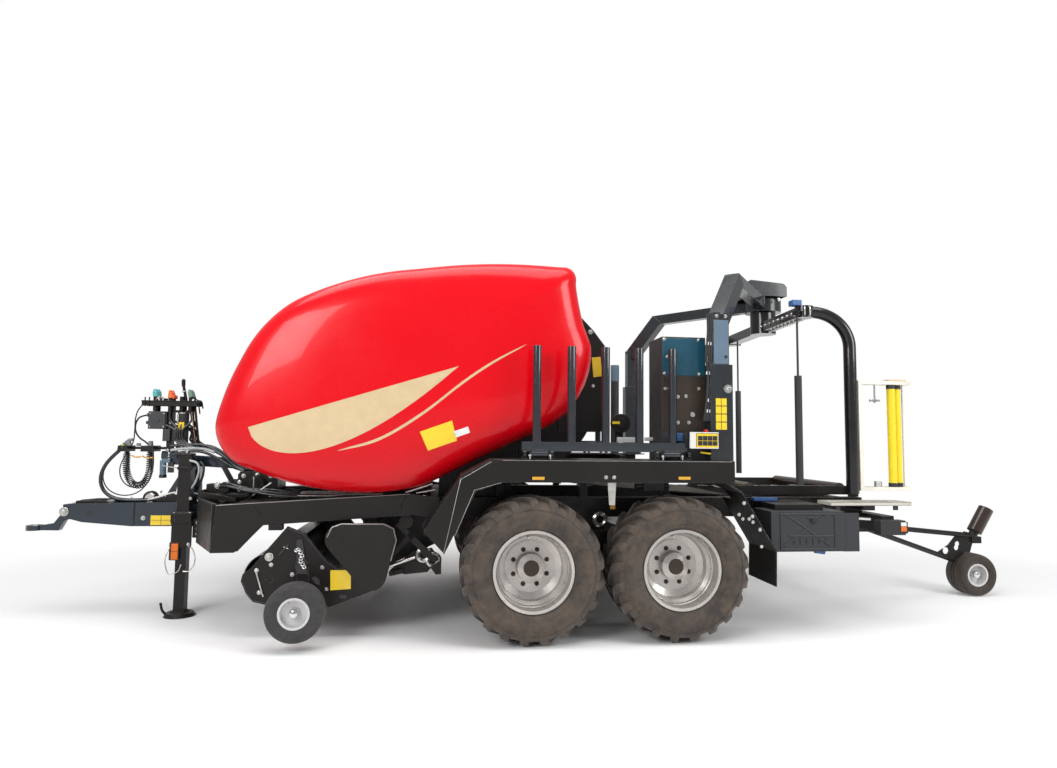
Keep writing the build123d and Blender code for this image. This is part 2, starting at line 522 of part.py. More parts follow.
# ---------------------------------------------------------------- fenders and mudguards
SKIRT_BOTTOM = DECK_TOP - SKIRT_DEPTH
SKIRT_SHEET = 8
rise = DECK_TOP - 1341
TOP_EDGE = ((1359, 828 + rise), (1098, 1224 + rise), (DECK_FRONT_X, DECK_TOP), (DECK_REAR_X, DECK_TOP))
LOWER_EDGE = ((1207, 666 + rise), (988, 1110 + rise), (800, SKIRT_BOTTOM), (DECK_REAR_X, SKIRT_BOTTOM))
deck = band(TOP_EDGE[::-1], DECK_SHEET, (FENDER_INNER_Y, FENDER_OUTER_Y))
skirt = plate_xz(TOP_EDGE + LOWER_EDGE[::-1], (FENDER_OUTER_Y - SKIRT_SHEET, FENDER_OUTER_Y))
lip = band(LOWER_EDGE, SKIRT_SHEET, (FENDER_OUTER_Y - 55, FENDER_OUTER_Y))
MUDGUARD_PATH = ((-800, 1189 + rise), (-880, 1186 + rise), (-1025, 1103 + rise), (-1294, 663), (-1288, 404))
mudguard = band(MUDGUARD_PATH, SKIRT_SHEET, (FENDER_INNER_Y + 10, FENDER_OUTER_Y))
sweep_room = Pos(ROTOR_X, 0, ROTOR_SWEEP_BOTTOM) * Cylinder(ROTOR_SWING, 2000,
                                                            align=(Align.CENTER, Align.CENTER, Align.MIN))
beam_room = block((1150, 1500), (0, SIDE_BEAM_OUTER_Y + FIT), (600, 1300))
fender_left = cut(join(deck, skirt, lip, mudguard), sweep_room, beam_room)
write("fenders", fender_left, right(fender_left))

# ---------------------------------------------------------------- film racks
RACK_X = (-619, 651)
RACK_RAIL_Y = (1250, 1300)
RACK_HINGE_Y = 1318
RACK_HINGE_Z = DECK_TOP + 42
RACK_RAIL_Z = (DECK_TOP + 62, DECK_TOP + 132)
POST_RADIUS = 32
POST_TOP = 2200
POST_COUNT = 5
FIRST_POST_X = 539
LAST_POST_X = -515
rail_bar = block(RACK_X, RACK_RAIL_Y, RACK_RAIL_Z)
posts = []
post_y = sum(RACK_RAIL_Y) / 2
for i in range(POST_COUNT):
    x = FIRST_POST_X + i * (LAST_POST_X - FIRST_POST_X) / (POST_COUNT - 1)
    posts.append(rod((x, post_y, RACK_RAIL_Z[1] - 5), (x, post_y, POST_TOP), POST_RADIUS))
RACK_HINGES = (520, -490)
RACK_PIN_RADIUS = 12
knuckles = []
brackets = []
for x in RACK_HINGES:
    knuckle = join(block((x - 60, x + 60), (RACK_RAIL_Y[1] - 30, RACK_HINGE_Y + 18),
                         (RACK_RAIL_Z[0] - 5, RACK_RAIL_Z[0] + 12)),
                   rod((x - 60, RACK_HINGE_Y, RACK_HINGE_Z), (x + 60, RACK_HINGE_Y, RACK_HINGE_Z), 22))
    knuckles.append(cut(knuckle, rod((x - 70, RACK_HINGE_Y, RACK_HINGE_Z),
                                     (x + 70, RACK_HINGE_Y, RACK_HINGE_Z), RACK_PIN_RADIUS + FIT)))
    ears = [block((x + s * 70 - 9, x + s * 70 + 9), (RACK_HINGE_Y - 22, RACK_HINGE_Y + 22),
                  (DECK_TOP + FIT, RACK_HINGE_Z + 18)) for s in (-1, 1)]
    brackets.append(join(*ears, rod((x - 79, RACK_HINGE_Y, RACK_HINGE_Z),
                                    (x + 79, RACK_HINGE_Y, RACK_HINGE_Z), RACK_PIN_RADIUS)))
rack_left = join(rail_bar, *posts, *knuckles)
write("film_rack_left", rack_left)
write("film_rack_right", right(rack_left))
write("rack_brackets", *brackets, *[right(b) for b in brackets])

# ---------------------------------------------------------------- gantry
HEAD_FOOT_Z = 2480
HEAD_TOP = (-1145, 1000, 2830)
HUB_PLATE_TOP = 2880
socket = block((MAST_X - SOCKET_HALF_LENGTH, MAST_X + SOCKET_HALF_LENGTH), (MAST_Y - 60, MAST_Y + 60),
               (DECK_TOP + FIT, 2090))
mast = block((MAST_X - 65, MAST_X + 65), (MAST_Y - 55, MAST_Y + 55), (2085, HEAD_FOOT_Z + 20))
head = beam((MAST_X, MAST_Y, HEAD_FOOT_Z - 40), HEAD_TOP, 125, 130)
diagonal = beam((HEAD_TOP[0] + 30, HEAD_TOP[1] + 40, HEAD_TOP[2] - 5),
                (ROTOR_X, 0, HEAD_TOP[2] - 5), 100, 100)
half_gantry = join(socket, mast, head, diagonal)
hub_plate = rod((ROTOR_X, 0, HUB_PLATE_BOTTOM), (ROTOR_X, 0, HUB_PLATE_TOP), 170)
ROTOR_SHAFT_RADIUS = 45
shaft_bore = Pos(ROTOR_X, 0, HUB_PLATE_BOTTOM) * Cylinder(ROTOR_SHAFT_RADIUS + FIT, 600)
write("gantry", cut(join(half_gantry, right(half_gantry), hub_plate), shaft_bore))

HOOD_TOP = 3030
HOOD_SHEET = 8
HOOD_HALF_WIDTH = 230
HOOD_REAR_X = ROTOR_X - 135
HOOD_FRONT_X = ROTOR_X + 235
hood_outline = ((HOOD_REAR_X, HUB_PLATE_TOP + FIT), (HOOD_FRONT_X, HUB_PLATE_TOP + FIT),
                (HOOD_FRONT_X - 10, HOOD_TOP), (HOOD_REAR_X + 30, HOOD_TOP - 25),
                (HOOD_REAR_X, HOOD_TOP - 60))
hood = plate_xz(hood_outline, (-HOOD_HALF_WIDTH, HOOD_HALF_WIDTH))
hood_hollow = block((HOOD_REAR_X + HOOD_SHEET, HOOD_FRONT_X - 20),
                    (-HOOD_HALF_WIDTH + HOOD_SHEET, HOOD_HALF_WIDTH - HOOD_SHEET),
                    (HUB_PLATE_TOP - 10, HOOD_TOP - 70))
write("rotor_hood", cut(hood, hood_hollow))

# ---------------------------------------------------------------- wrapping rotor
BEAM_SIZE = (120, 90)
BEAM_END = (68, 900)         # x and y of the left beam end from the rotor axis
ARM_FOOT = (-272, 1010)      # x and y of the left arm from the rotor axis
ARM_BEND_RADIUS = 310
POLE_PLACE = (160, 950)      # x and y of the left film pole from the rotor axis


def on_rotor(place, z):
    """Point given from the rotor axis."""
    return (ROTOR_X + place[0], place[1], z)


def both_arms(shape):
    """The piece and its twin on the opposite arm."""
    return shape, Pos(ROTOR_X, 0, 0) * Rot(0, 0, 180) * Pos(-ROTOR_X, 0, 0) * shape


rotor_hub = rod((ROTOR_X, 0, ROTOR_BEAM_Z - 60), (ROTOR_X, 0, HUB_PLATE_BOTTOM - 6), 120)
rotor_shaft = rod((ROTOR_X, 0, ROTOR_BEAM_Z), (ROTOR_X, 0, HUB_PLATE_TOP + 20), ROTOR_SHAFT_RADIUS)
rotor_beam = beam(on_rotor((0, 0), ROTOR_BEAM_Z), on_rotor(BEAM_END, ROTOR_BEAM_Z), *BEAM_SIZE)
arm_points = (on_rotor(BEAM_END, ROTOR_BEAM_Z), on_rotor(ARM_FOOT, ROTOR_BEAM_Z),
              on_rotor(ARM_FOOT, ARM_BOTTOM))
arm = bent_tube(arm_points, [ARM_BEND_RADIUS], ARM_TUBE_RADIUS)
clamp = Pos(*on_rotor(BEAM_END, ROTOR_BEAM_Z)) * Cylinder(75, 100)
pole_bracket = beam(on_rotor(BEAM_END, ROTOR_BEAM_Z - 20),
                    on_rotor((POLE_PLACE[0] + 20, POLE_PLACE[1] + 12), ROTOR_BEAM_Z - 20), 60, 40)
pieces = [twin for piece in (rotor_beam, arm, clamp, pole_bracket) for twin in both_arms(piece)]
write("rotor_frame", join(rotor_hub, rotor_shaft, *pieces))

pole_top = ROTOR_BEAM_Z - 40 - FIT
SLEEVE_TOP = 2050
pole = join(rod(on_rotor(POLE_PLACE, 1140), on_rotor(POLE_PLACE, SLEEVE_TOP), 30),
            rod(on_rotor(POLE_PLACE, SLEEVE_TOP - 5), on_rotor(POLE_PLACE, pole_top), 9))
write("film_poles", *both_arms(pole))

PRESTRETCH_X = (-795, ARM_FOOT[0] - ARM_TUBE_RADIUS - FIT)   # from the rotor axis
PRESTRETCH_Y = (935, 1045)
PRESTRETCH_Z = (1100, 2015)
PLATE = 30
ps_x = (ROTOR_X + PRESTRETCH_X[0], ROTOR_X + PRESTRETCH_X[1])
ps_post = block((ps_x[1] - 30, ps_x[1]), PRESTRETCH_Y, PRESTRETCH_Z)
ps_top = block(ps_x, PRESTRETCH_Y, (PRESTRETCH_Z[1] - PLATE, PRESTRETCH_Z[1]))
ps_bottom = block(ps_x, PRESTRETCH_Y, (PRESTRETCH_Z[0], PRESTRETCH_Z[0] + PLATE))
ps_rod = rod((ps_x[0] + 15, PRESTRETCH_Y[0] + 15, PRESTRETCH_Z[0] + 5),
             (ps_x[0] + 15, PRESTRETCH_Y[0] + 15, PRESTRETCH_Z[1] - 5), 7)
write("prestretch_frames", *both_arms(join(ps_post, ps_top, ps_bottom, ps_rod)))
# x and y of each roller from the rotor axis
ROLLERS = ((-640, 1003), (-705, 978))
STRETCH_ROLLER_RADIUS = 33
rollers = []
for place in ROLLERS:
    roller = rod(on_rotor(place, PRESTRETCH_Z[0] + PLATE + FIT),
                 on_rotor(place, PRESTRETCH_Z[1] - PLATE - FIT), STRETCH_ROLLER_RADIUS)
    rollers += both_arms(roller)
write("prestretch_rollers", *rollers)

# ---------------------------------------------------------------- wrap table
TABLE_X = (-2420, -1330)
TABLE_HALF_WIDTH = 630
TABLE_ROLLER_RADIUS = 46
TABLE_ROLLER_Z = 1090
TABLE_ROLLERS_X = (-1440, -2290)
TABLE_PIVOT_X = -2375
TABLE_PIVOT_Z = 1060
TABLE_PIN_RADIUS = 20
side_member = cut(block(TABLE_X, (TABLE_HALF_WIDTH - 40, TABLE_HALF_WIDTH), (1035, 1112)),
                  rod((TABLE_PIVOT_X, 0, TABLE_PIVOT_Z), (TABLE_PIVOT_X, 900, TABLE_PIVOT_Z),
                      TABLE_PIN_RADIUS + FIT))
half_table = join(side_member, *[block((x - 40, x + 40), (-1, TABLE_HALF_WIDTH - 20), (1028, 1040))
                                 for x in (-1600, -1865, -2130)])
write("wrap_table", join(half_table, right(half_table)))
table_rollers = [rod((x, -TABLE_HALF_WIDTH + 40 + FIT, TABLE_ROLLER_Z),
                     (x, TABLE_HALF_WIDTH - 40 - FIT, TABLE_ROLLER_Z), TABLE_ROLLER_RADIUS)
                 for x in TABLE_ROLLERS_X]
write("table_rollers", *table_rollers)

pivot_bracket = join(block((TABLE_PIVOT_X - 45, TABLE_PIVOT_X + 45),
                           (TABLE_HALF_WIDTH + 12, TABLE_HALF_WIDTH + 34),
                           (RAIL_TOP + FIT, TABLE_PIVOT_Z + 40)),
                     rod((TABLE_PIVOT_X, TABLE_HALF_WIDTH - 38, TABLE_PIVOT_Z),
                         (TABLE_PIVOT_X, TABLE_HALF_WIDTH + 20, TABLE_PIVOT_Z), TABLE_PIN_RADIUS))
REST_X = (-1420, -1340)
rest_pad = block(REST_X, (TABLE_HALF_WIDTH - 40, RAIL_Y), (RAIL_TOP + FIT, 1035 - FIT))
write("table_mounts", pivot_bracket, right(pivot_bracket), rest_pad, right(rest_pad))
tray = block((-2680, -1960), (790, 1000), TRAY_Z)
write("side_trays", tray, right(tray))
write("transfer_ramp", band(RAMP_PATH[::-1], RAMP_SHEET, (-600, 600)))

# ---------------------------------------------------------------- cabinets, toolbox, lights
CABINET_X = (MAST_X + SOCKET_HALF_LENGTH + FIT, -457)
CABINET_Y = (860, 1200)
CABINET_TOP = 2310
TANK_X = -640
TANK_Y = -1000
TANK_RADIUS = 45
cabinet = block(CABINET_X, CABINET_Y, (DECK_TOP + FIT, CABINET_TOP))
tank = rod((TANK_X, TANK_Y, DECK_TOP + FIT), (TANK_X, TANK_Y, CABINET_TOP), TANK_RADIUS)
write("cabinet_and_tank", cabinet, tank)
write("control_panel", block((MAST_X + 50, RACK_X[0] - 6), (MAST_Y + 60 + FIT, MAST_Y + 108),
                             (DECK_TOP + 95, DECK_TOP + 217)))
TOOLBOX_X = (-1920, -1312)
toolbox = block(TOOLBOX_X, (950, 1250), (645, TOOLBOX_TOP))
side_plate = join(block((TOOLBOX_X[0] - 135, TOOLBOX_X[0] - 8), (1225, 1233), (640, 940)),
                  block((TOOLBOX_X[0] - 12, TOOLBOX_X[0] - FIT), (960, 1233), (640, 940)))
write("toolbox", toolbox, side_plate)
lamp_unit = join(block((RAIL_REAR_X - 150, RAIL_REAR_X + 70), (1010 + FIT, 1100), (745, 862)),
                 block((RAIL_REAR_X - 175, RAIL_REAR_X - 149), (1020, 1092), (757, 850)))
write("rear_lights", lamp_unit, right(lamp_unit))

# ---------------------------------------------------------------- bale turner
TURNER_TUBE_RADIUS = 24
hinge_x, hinge_z = TURNER_HINGE
knuckle_x = TURNER_ROLLER_FOOT[0] + 60 * sin(ROLLER_LEAN)
knuckle_z = TURNER_ROLLER_FOOT[1] - 60 * cos(ROLLER_LEAN)
turner_sleeve = cut(rod((hinge_x, 135, hinge_z), (hinge_x, 505, hinge_z), 34),
                    rod((hinge_x, 100, hinge_z), (hinge_x, 540, hinge_z), TURNER_PIN_RADIUS + FIT))
upper_tube = rod((hinge_x - 22, 300, hinge_z - 6), (knuckle_x, 0, knuckle_z + 12), TURNER_TUBE_RADIUS)
lower_tube = rod((hinge_x - 22, 450, hinge_z - 22), (-3840, 0, 338), TURNER_TUBE_RADIUS)
gusset = cut(plate_xz(((-3650, 405), (-3660, 380), (-3830, 325), (-3940, 395), (-4050, 560),
                       (-4050, 590), (-3880, 590), (-3790, 490)), (-8, 8)),
             rod((-3757, -20, 432), (-3757, 20, 432), 34),
             rod((-3874, -20, 462), (-3874, 20, 462), 28),
             rod((-3884, -20, 496), (-3884, 20, 496), 28))
knuckle = block((-4130, -4030), (-190, 30), (505, 570))
turner_leg = beam((-4160, -170, 580), (TURNER_WHEEL_X, -170, SMALL_TYRE_RADIUS - 30), 40, 100)
spindle = rod((TURNER_WHEEL_X, -170, SMALL_TYRE_RADIUS),
              (TURNER_WHEEL_X, TURNER_RIM_WIDTH / 2 - 20, SMALL_TYRE_RADIUS), SPINDLE_RADIUS)
roller_foot = (TURNER_ROLLER_FOOT[0], 0, TURNER_ROLLER_FOOT[1])
roller_head = (TURNER_ROLLER_HEAD[0], 0, TURNER_ROLLER_HEAD[1])
roller_seat = rod((knuckle_x, 0, knuckle_z), roller_foot, 40)
write("turner_arm", join(turner_sleeve, upper_tube, lower_tube, gusset, knuckle, turner_leg,
                         spindle, roller_seat))
write("turner_roller", rod(roller_foot, roller_head, TURNER_ROLLER_RADIUS))

# ---------------------------------------------------------------- pick-up
PLATE_Y = (PICKUP_HALF_WIDTH, PICKUP_HALF_WIDTH + 12)
PICKUP_OUTLINE = ((2374, 824), (2248, 772), (2080, 570), (1975, 502), (1845, 650), (1780, 695),
                  (1715, 640), (1735, 338), (2056, 222), (2400, 232), (2604, 271), (2656, 335),
                  (2695, 423), (2683, 474), (2625, 521))
REEL_X = 2490
REEL_Z = 435
REEL_RADIUS = 140
REEL_SHAFT_RADIUS = 25
reel_hole = rod((REEL_X, 900, REEL_Z), (REEL_X, 1000, REEL_Z), REEL_SHAFT_RADIUS + FIT)
pivot_hole = rod((PICKUP_PIVOT_X, 900, PICKUP_PIVOT_Z), (PICKUP_PIVOT_X, 1000, PICKUP_PIVOT_Z),
                 PIN_RADIUS + FIT)
pickup_plate = cut(plate_xz(PICKUP_OUTLINE, PLATE_Y), reel_hole, pivot_hole)
back_tube = block((2010, 2090), (-1, PLATE_Y[0] + 2), (330, 410))
gauge_bracket = join(beam((GAUGE_X + 30, PLATE_Y[1] + 4, 560), (GAUGE_X, PLATE_Y[1] + 4, GAUGE_Z), 10, 90),
                     rod((GAUGE_X, PLATE_Y[0] + 2, GAUGE_Z),
                         (GAUGE_X, GAUGE_Y + GAUGE_RIM_WIDTH / 2 - 20, GAUGE_Z), SPINDLE_RADIUS))
half_pickup = join(pickup_plate, back_tube, gauge_bracket)
write("pickup_frame", join(half_pickup, right(half_pickup)))
reel = rod((REEL_X, -PLATE_Y[0] + 8, REEL_Z), (REEL_X, PLATE_Y[0] - 8, REEL_Z), REEL_RADIUS)
reel_shaft = rod((REEL_X, -PLATE_Y[1], REEL_Z), (REEL_X, PLATE_Y[1], REEL_Z), REEL_SHAFT_RADIUS)
write("pickup_reel", join(reel, reel_shaft))
BAND_RADIUS = 196
BAND_SHEET = 5
bands = cut(rod((REEL_X, -PLATE_Y[0] + FIT, REEL_Z), (REEL_X, PLATE_Y[0] - FIT, REEL_Z), BAND_RADIUS),
            rod((REEL_X, -FAR, REEL_Z), (REEL_X, FAR, REEL_Z), BAND_RADIUS - BAND_SHEET),
            block((REEL_X - FAR, REEL_X - 60), (-FAR, FAR), (0, FAR)))
write("pickup_bands", bands)

# ---------------------------------------------------------------- hose mast
MAST_PLATE_Z = 1780
MAST_SIZE = 50
HOLDER_Z = (1350, 1400)  # blocks that park the front cables
HOLDER_Y = (-65, 105)
post = block((MAST_FOOT_X - MAST_SIZE / 2, MAST_FOOT_X + MAST_SIZE / 2), (-MAST_SIZE / 2, MAST_SIZE / 2),
             (MAST_SEAT_Z + FIT, MAST_PLATE_Z))
mast_flange = block((MAST_FOOT_X - 50, MAST_FOOT_X + 48), (-50, 50), (MAST_SEAT_Z + FIT, MAST_SEAT_Z + 16))
coupling_plate = block((3360, 3822), (-60, 60), (MAST_PLATE_Z - 2, MAST_PLATE_Z + 12))
accumulator_arm = block((3440, MAST_FOOT_X), (-20, 20), (1690, 1712))
holder_bar = block((MAST_FOOT_X, 3930), (-15, 15), (1368, 1390))
front_holder = block((3900, 3975), HOLDER_Y, HOLDER_Z)
rear_holder = block((3690, 3790), HOLDER_Y, HOLDER_Z)
write("hose_mast", join(post, mast_flange, coupling_plate, accumulator_arm, holder_bar, front_holder,
                        rear_holder))
BOX_FRONT_X = 3765
write("junction_box", block((MAST_FOOT_X + MAST_SIZE / 2 + FIT, BOX_FRONT_X), (-55, 45), (1545, 1698)))
write("accumulator", rod((3490, 0, 1400), (3490, 0, 1690 - FIT), 45))


# ---------------------------------------------------------------- cords at the front
def cord(name, diameter, points):
    """Hose or cable on straight runs joined by arcs as large as the runs allow."""
    radii = []
    for before, corner, after in zip(points, points[1:], points[2:]):
        run_in = Vector(*corner) - Vector(*before)
        run_out = Vector(*after) - Vector(*corner)
        half_turn = radians(run_in.get_angle(run_out)) / 2
        radii.append(0.45 * min(run_in.length, run_out.length) / tan(half_turn))
    tube = bent_tube(points, radii, diameter / 2)
    length = tube.volume / (pi * diameter * diameter / 4)
    print(f"{name}: length {length:.0f} mm, radii {[round(r) for r in radii]}")
    write(name, tube)


# Thick hose: from the front holder round and back along the drawbar to its port.
cord("front_hose", 30,
     ((3940, 80, 1385), (4018, 82, 1312), (4084, 84, 1222), (4112, 84, 1115), (4082, 82, 1015),
      (4004, 78, 955), (3905, 72, 937), (3800, 66, 936), (3700, 60, 939), (PORT_X, 56, 942)))
# Curly cable, drawn as its outer diameter: hangs in a U between the two holders.
cord("curly_cable", 62,
     ((3938, 2, 1365), (3943, 2, 1270), (3938, 0, 1175), (3908, -2, 1097), (3870, -2, 1058),
      (3815, -1, 1056), (3776, 0, 1092), (3750, 2, 1160), (3745, 4, 1260), (3750, 4, 1370)))
# Light cables in loose loops.
cord("lamp_cable", 10,
     ((3955, 48, 1380), (4035, 50, 1318), (4096, 52, 1212), (4104, 52, 1095), (4040, 52, 1005),
      (3930, 54, 968), (3815, 54, 992), (3735, 54, 1078), (3702, 52, 1190), (3700, 50, 1290),
      (3712, 48, 1370)))
cord("control_cable", 10,
     ((3818, -40, MAST_PLATE_Z + 4), (3880, -45, 1735), (3912, -55, 1645), (3917, -72, 1530),
      (3926, -85, 1420), (3985, -82, 1320), (4024, -68, 1220), (4012, -58, 1120), (3950, -54, 1046),
      (3870, -52, 1030), (3802, -50, 1095), (3774, -50, 1195), (3770, -48, 1290), (3766, -46, 1370)))
cord("box_cable", 14,
     ((BOX_FRONT_X - 8, -10, 1668), (3848, -9, 1662), (3887, -7, 1603), (3888, -5, 1525),
      (3846, -3, 1462), (3790, -1, 1432), (3748, 0, 1385)))
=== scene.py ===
"""Looks of the round baler-wrapper combination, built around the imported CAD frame.

Metres, in the frame's own axes: +X forward, +Y to the machine's left, +Z up. Places are given
from the middle of the tandem axle by at(), as in the part's source.
"""
import math

import bmesh
import bpy
from mathutils import Matrix, Vector
from mathutils.bvhtree import BVHTree


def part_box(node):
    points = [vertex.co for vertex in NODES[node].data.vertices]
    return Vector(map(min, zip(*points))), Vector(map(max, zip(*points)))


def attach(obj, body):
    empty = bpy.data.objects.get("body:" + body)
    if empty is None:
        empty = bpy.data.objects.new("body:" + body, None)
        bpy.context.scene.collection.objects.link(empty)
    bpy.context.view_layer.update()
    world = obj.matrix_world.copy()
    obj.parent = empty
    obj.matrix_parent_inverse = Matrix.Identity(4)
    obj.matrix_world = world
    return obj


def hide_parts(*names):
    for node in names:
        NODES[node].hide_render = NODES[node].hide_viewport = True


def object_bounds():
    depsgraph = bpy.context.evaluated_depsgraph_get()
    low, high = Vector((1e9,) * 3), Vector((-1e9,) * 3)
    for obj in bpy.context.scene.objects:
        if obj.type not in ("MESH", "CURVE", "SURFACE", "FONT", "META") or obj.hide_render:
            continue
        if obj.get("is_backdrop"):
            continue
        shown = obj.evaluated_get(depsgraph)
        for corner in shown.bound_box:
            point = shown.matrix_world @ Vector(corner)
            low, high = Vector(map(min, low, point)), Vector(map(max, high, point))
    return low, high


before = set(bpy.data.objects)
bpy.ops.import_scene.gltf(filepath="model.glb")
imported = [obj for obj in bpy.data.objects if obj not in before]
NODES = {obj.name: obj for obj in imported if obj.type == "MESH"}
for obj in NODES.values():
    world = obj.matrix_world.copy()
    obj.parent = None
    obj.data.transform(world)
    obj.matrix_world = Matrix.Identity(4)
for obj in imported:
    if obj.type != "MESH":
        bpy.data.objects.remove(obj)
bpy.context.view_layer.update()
axle_low, axle_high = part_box("tandem_axle")
AXLE_X = (axle_low.x + axle_high.x) / 2


def at(x, y, z):
    """Point given from the middle of the tandem axle, on the ground."""
    return Vector((AXLE_X + x, y, z))


# ---------------------------------------------------------------- materials
class Shader:
    """Builds one procedural material around a Principled shader."""

    def __init__(self, name, color, roughness=0.5, metallic=0.0):
        self.material = bpy.data.materials.new(name)
        self.material.use_nodes = True
        self.tree = self.material.node_tree
        self.bsdf = self.tree.nodes["Principled BSDF"]
        self.set("Base Color", (*color, 1))
        self.set("Roughness", roughness)
        self.set("Metallic", metallic)
        self.coords = self.tree.nodes.new("ShaderNodeTexCoord").outputs["Object"]

    def set(self, socket, value):
        self.bsdf.inputs[socket].default_value = value

    def link(self, output, socket):
        self.tree.links.new(output, socket)

    def feed(self, output, socket):
        self.link(output, self.bsdf.inputs[socket])

    def fill(self, socket, value):
        if isinstance(value, bpy.types.NodeSocket):
            self.link(value, socket)
        else:
            socket.default_value = value

    def stretched(self, scale):
        """Object coordinates scaled by axis."""
        node = self.tree.nodes.new("ShaderNodeMapping")
        node.inputs["Scale"].default_value = scale
        self.link(self.coords, node.inputs["Vector"])
        return node.outputs["Vector"]

    def noise(self, scale, detail=4.0, rough=0.55, stretch=None):
        node = self.tree.nodes.new("ShaderNodeTexNoise")
        node.inputs["Scale"].default_value = scale
        node.inputs["Detail"].default_value = detail
        node.inputs["Roughness"].default_value = rough
        self.link(self.stretched(stretch) if stretch else self.coords, node.inputs["Vector"])
        return node.outputs["Fac"]

    def ramp(self, factor, low, high, a=0.0, b=1.0):
        """Factor remapped from low..high to a..b, clamped."""
        node = self.tree.nodes.new("ShaderNodeMapRange")
        self.fill(node.inputs["Value"], factor)
        node.inputs["From Min"].default_value = low
        node.inputs["From Max"].default_value = high
        node.inputs["To Min"].default_value = a
        node.inputs["To Max"].default_value = b
        return node.outputs["Result"]

    def math(self, kind, a, b=0.5):
        node = self.tree.nodes.new("ShaderNodeMath")
        node.operation = kind
        self.fill(node.inputs[0], a)
        self.fill(node.inputs[1], b)
        return node.outputs[0]

    def mix(self, factor, a, b):
        """Colour a where factor is 0 and b where it is 1."""
        node = self.tree.nodes.new("ShaderNodeMix")
        node.data_type = "RGBA"
        self.fill(node.inputs["Factor"], factor)
        for socket, value in ((node.inputs[6], a), (node.inputs[7], b)):
            self.fill(socket, value if isinstance(value, bpy.types.NodeSocket) else (*value, 1))
        return node.outputs[2]

    def axis(self, name):
        """One of the object's coordinates."""
        node = self.tree.nodes.new("ShaderNodeSeparateXYZ")
        self.link(self.coords, node.inputs[0])
        return node.outputs[name]

    def facing_up(self):
        geometry = self.tree.nodes.new("ShaderNodeNewGeometry")
        node = self.tree.nodes.new("ShaderNodeSeparateXYZ")
        self.link(geometry.outputs["Normal"], node.inputs[0])
        return node.outputs["Z"]

    def rounded_edges(self, radius):
        """Normal with softened edges, and a mask of those edges."""
        bevel = self.tree.nodes.new("ShaderNodeBevel")
        bevel.samples = 4
        bevel.inputs["Radius"].default_value = radius
        geometry = self.tree.nodes.new("ShaderNodeNewGeometry")
        dot = self.tree.nodes.new("ShaderNodeVectorMath")
        dot.operation = "DOT_PRODUCT"
        self.link(bevel.outputs["Normal"], dot.inputs[0])
        self.link(geometry.outputs["Normal"], dot.inputs[1])
        edges = self.ramp(dot.outputs["Value"], 0.985, 0.80)
        return bevel.outputs["Normal"], edges

    def bump(self, height, distance, strength=1.0, normal=None):
        node = self.tree.nodes.new("ShaderNodeBump")
        node.inputs["Strength"].default_value = strength
        node.inputs["Distance"].default_value = distance
        self.link(height, node.inputs["Height"])
        if normal is not None:
            self.link(normal, node.inputs["Normal"])
        self.feed(node.outputs["Normal"], "Normal")


DUST = (0.34, 0.30, 0.25)


def tinted(color, factor):
    return tuple(min(1.0, c * factor) for c in color)


def paint(name, color, roughness, wear_and_highlight=0.25, dust=0.15, edge=0.003, metallic=0.0, coat=0.0,
          edge_color=None):
    """Sprayed paint on steel: orange peel, thin dust on level faces, lighter edges in patches, partly
    scuffed paint and partly painted highlight.
    """
    s = Shader(name, color, roughness, metallic)
    s.set("Coat Weight", coat)
    s.set("Coat Roughness", 0.08)
    s.set("Specular IOR Level", 0.26)
    clouds = s.noise(2.3, 5.0)
    color_node = s.mix(s.ramp(clouds, 0.35, 0.7), tinted(color, 0.86), tinted(color, 1.16))
    normal, edges = s.rounded_edges(edge)
    # lighter patches along the edges: partly scuffed paint, partly painted highlight where light catches
    # them
    rubbed_and_highlit_spots = s.math("MULTIPLY", edges, s.ramp(s.noise(38.0, 3.0), 0.40, 0.62))
    worn_and_highlit = s.math("MULTIPLY", rubbed_and_highlit_spots, wear_and_highlight)
    light = edge_color or tuple(0.5 * c + 0.22 for c in color)
    color_node = s.mix(worn_and_highlit, color_node, light)
    level = s.ramp(s.facing_up(), 0.55, 1.0)
    dusty = s.math("MULTIPLY", s.math("MULTIPLY", level, s.ramp(s.noise(7.0, 6.0, 0.7), 0.38, 0.72)), dust)
    color_node = s.mix(dusty, color_node, DUST)
    s.feed(color_node, "Base Color")
    grime = s.ramp(s.noise(11.0, 6.0, 0.65), 0.3, 0.75, max(0.03, roughness - 0.08), roughness + 0.12)
    s.feed(grime, "Roughness")
    s.bump(s.noise(420.0, 2.0), 0.00025, 0.5, normal)
    return s.material


def bare_metal(name, color, roughness, scratch=(1.0, 1.0, 14.0), metallic=1.0):
    """Machined or plated steel with fine scratches and stains."""
    s = Shader(name, color, roughness, metallic)
    stains = s.noise(14.0, 6.0, 0.6)
    s.feed(s.mix(s.ramp(stains, 0.35, 0.75), tinted(color, 0.72), tinted(color, 1.12)), "Base Color")
    s.feed(s.ramp(s.noise(60.0, 3.0, 0.6, scratch), 0.3, 0.7, roughness * 0.7, roughness * 1.5), "Roughness")
    normal, _ = s.rounded_edges(0.0015)
    s.bump(s.noise(180.0, 3.0, 0.6, scratch), 0.0002, 0.5, normal)
    return s.material


def plastic(name, color, roughness, grain=900.0, depth=0.0003, coat=0.0):
    """Moulded plastic with a fine grain and slight sun bleaching on top."""
    s = Shader(name, color, roughness)
    s.set("Coat Weight", coat)
    level = s.ramp(s.facing_up(), 0.2, 1.0, 0.0, 0.35)
    spots = s.math("MULTIPLY", level, s.noise(6.0, 4.0))
    s.feed(s.mix(spots, tinted(color, 0.95), tuple(0.75 * c + 0.12 for c in color)), "Base Color")
    s.feed(s.ramp(s.noise(25.0, 4.0), 0.3, 0.7, roughness - 0.05, roughness + 0.08), "Roughness")
    normal, _ = s.rounded_edges(0.002)
    s.bump(s.noise(grain, 2.0), depth, 0.6, normal)
    return s.material


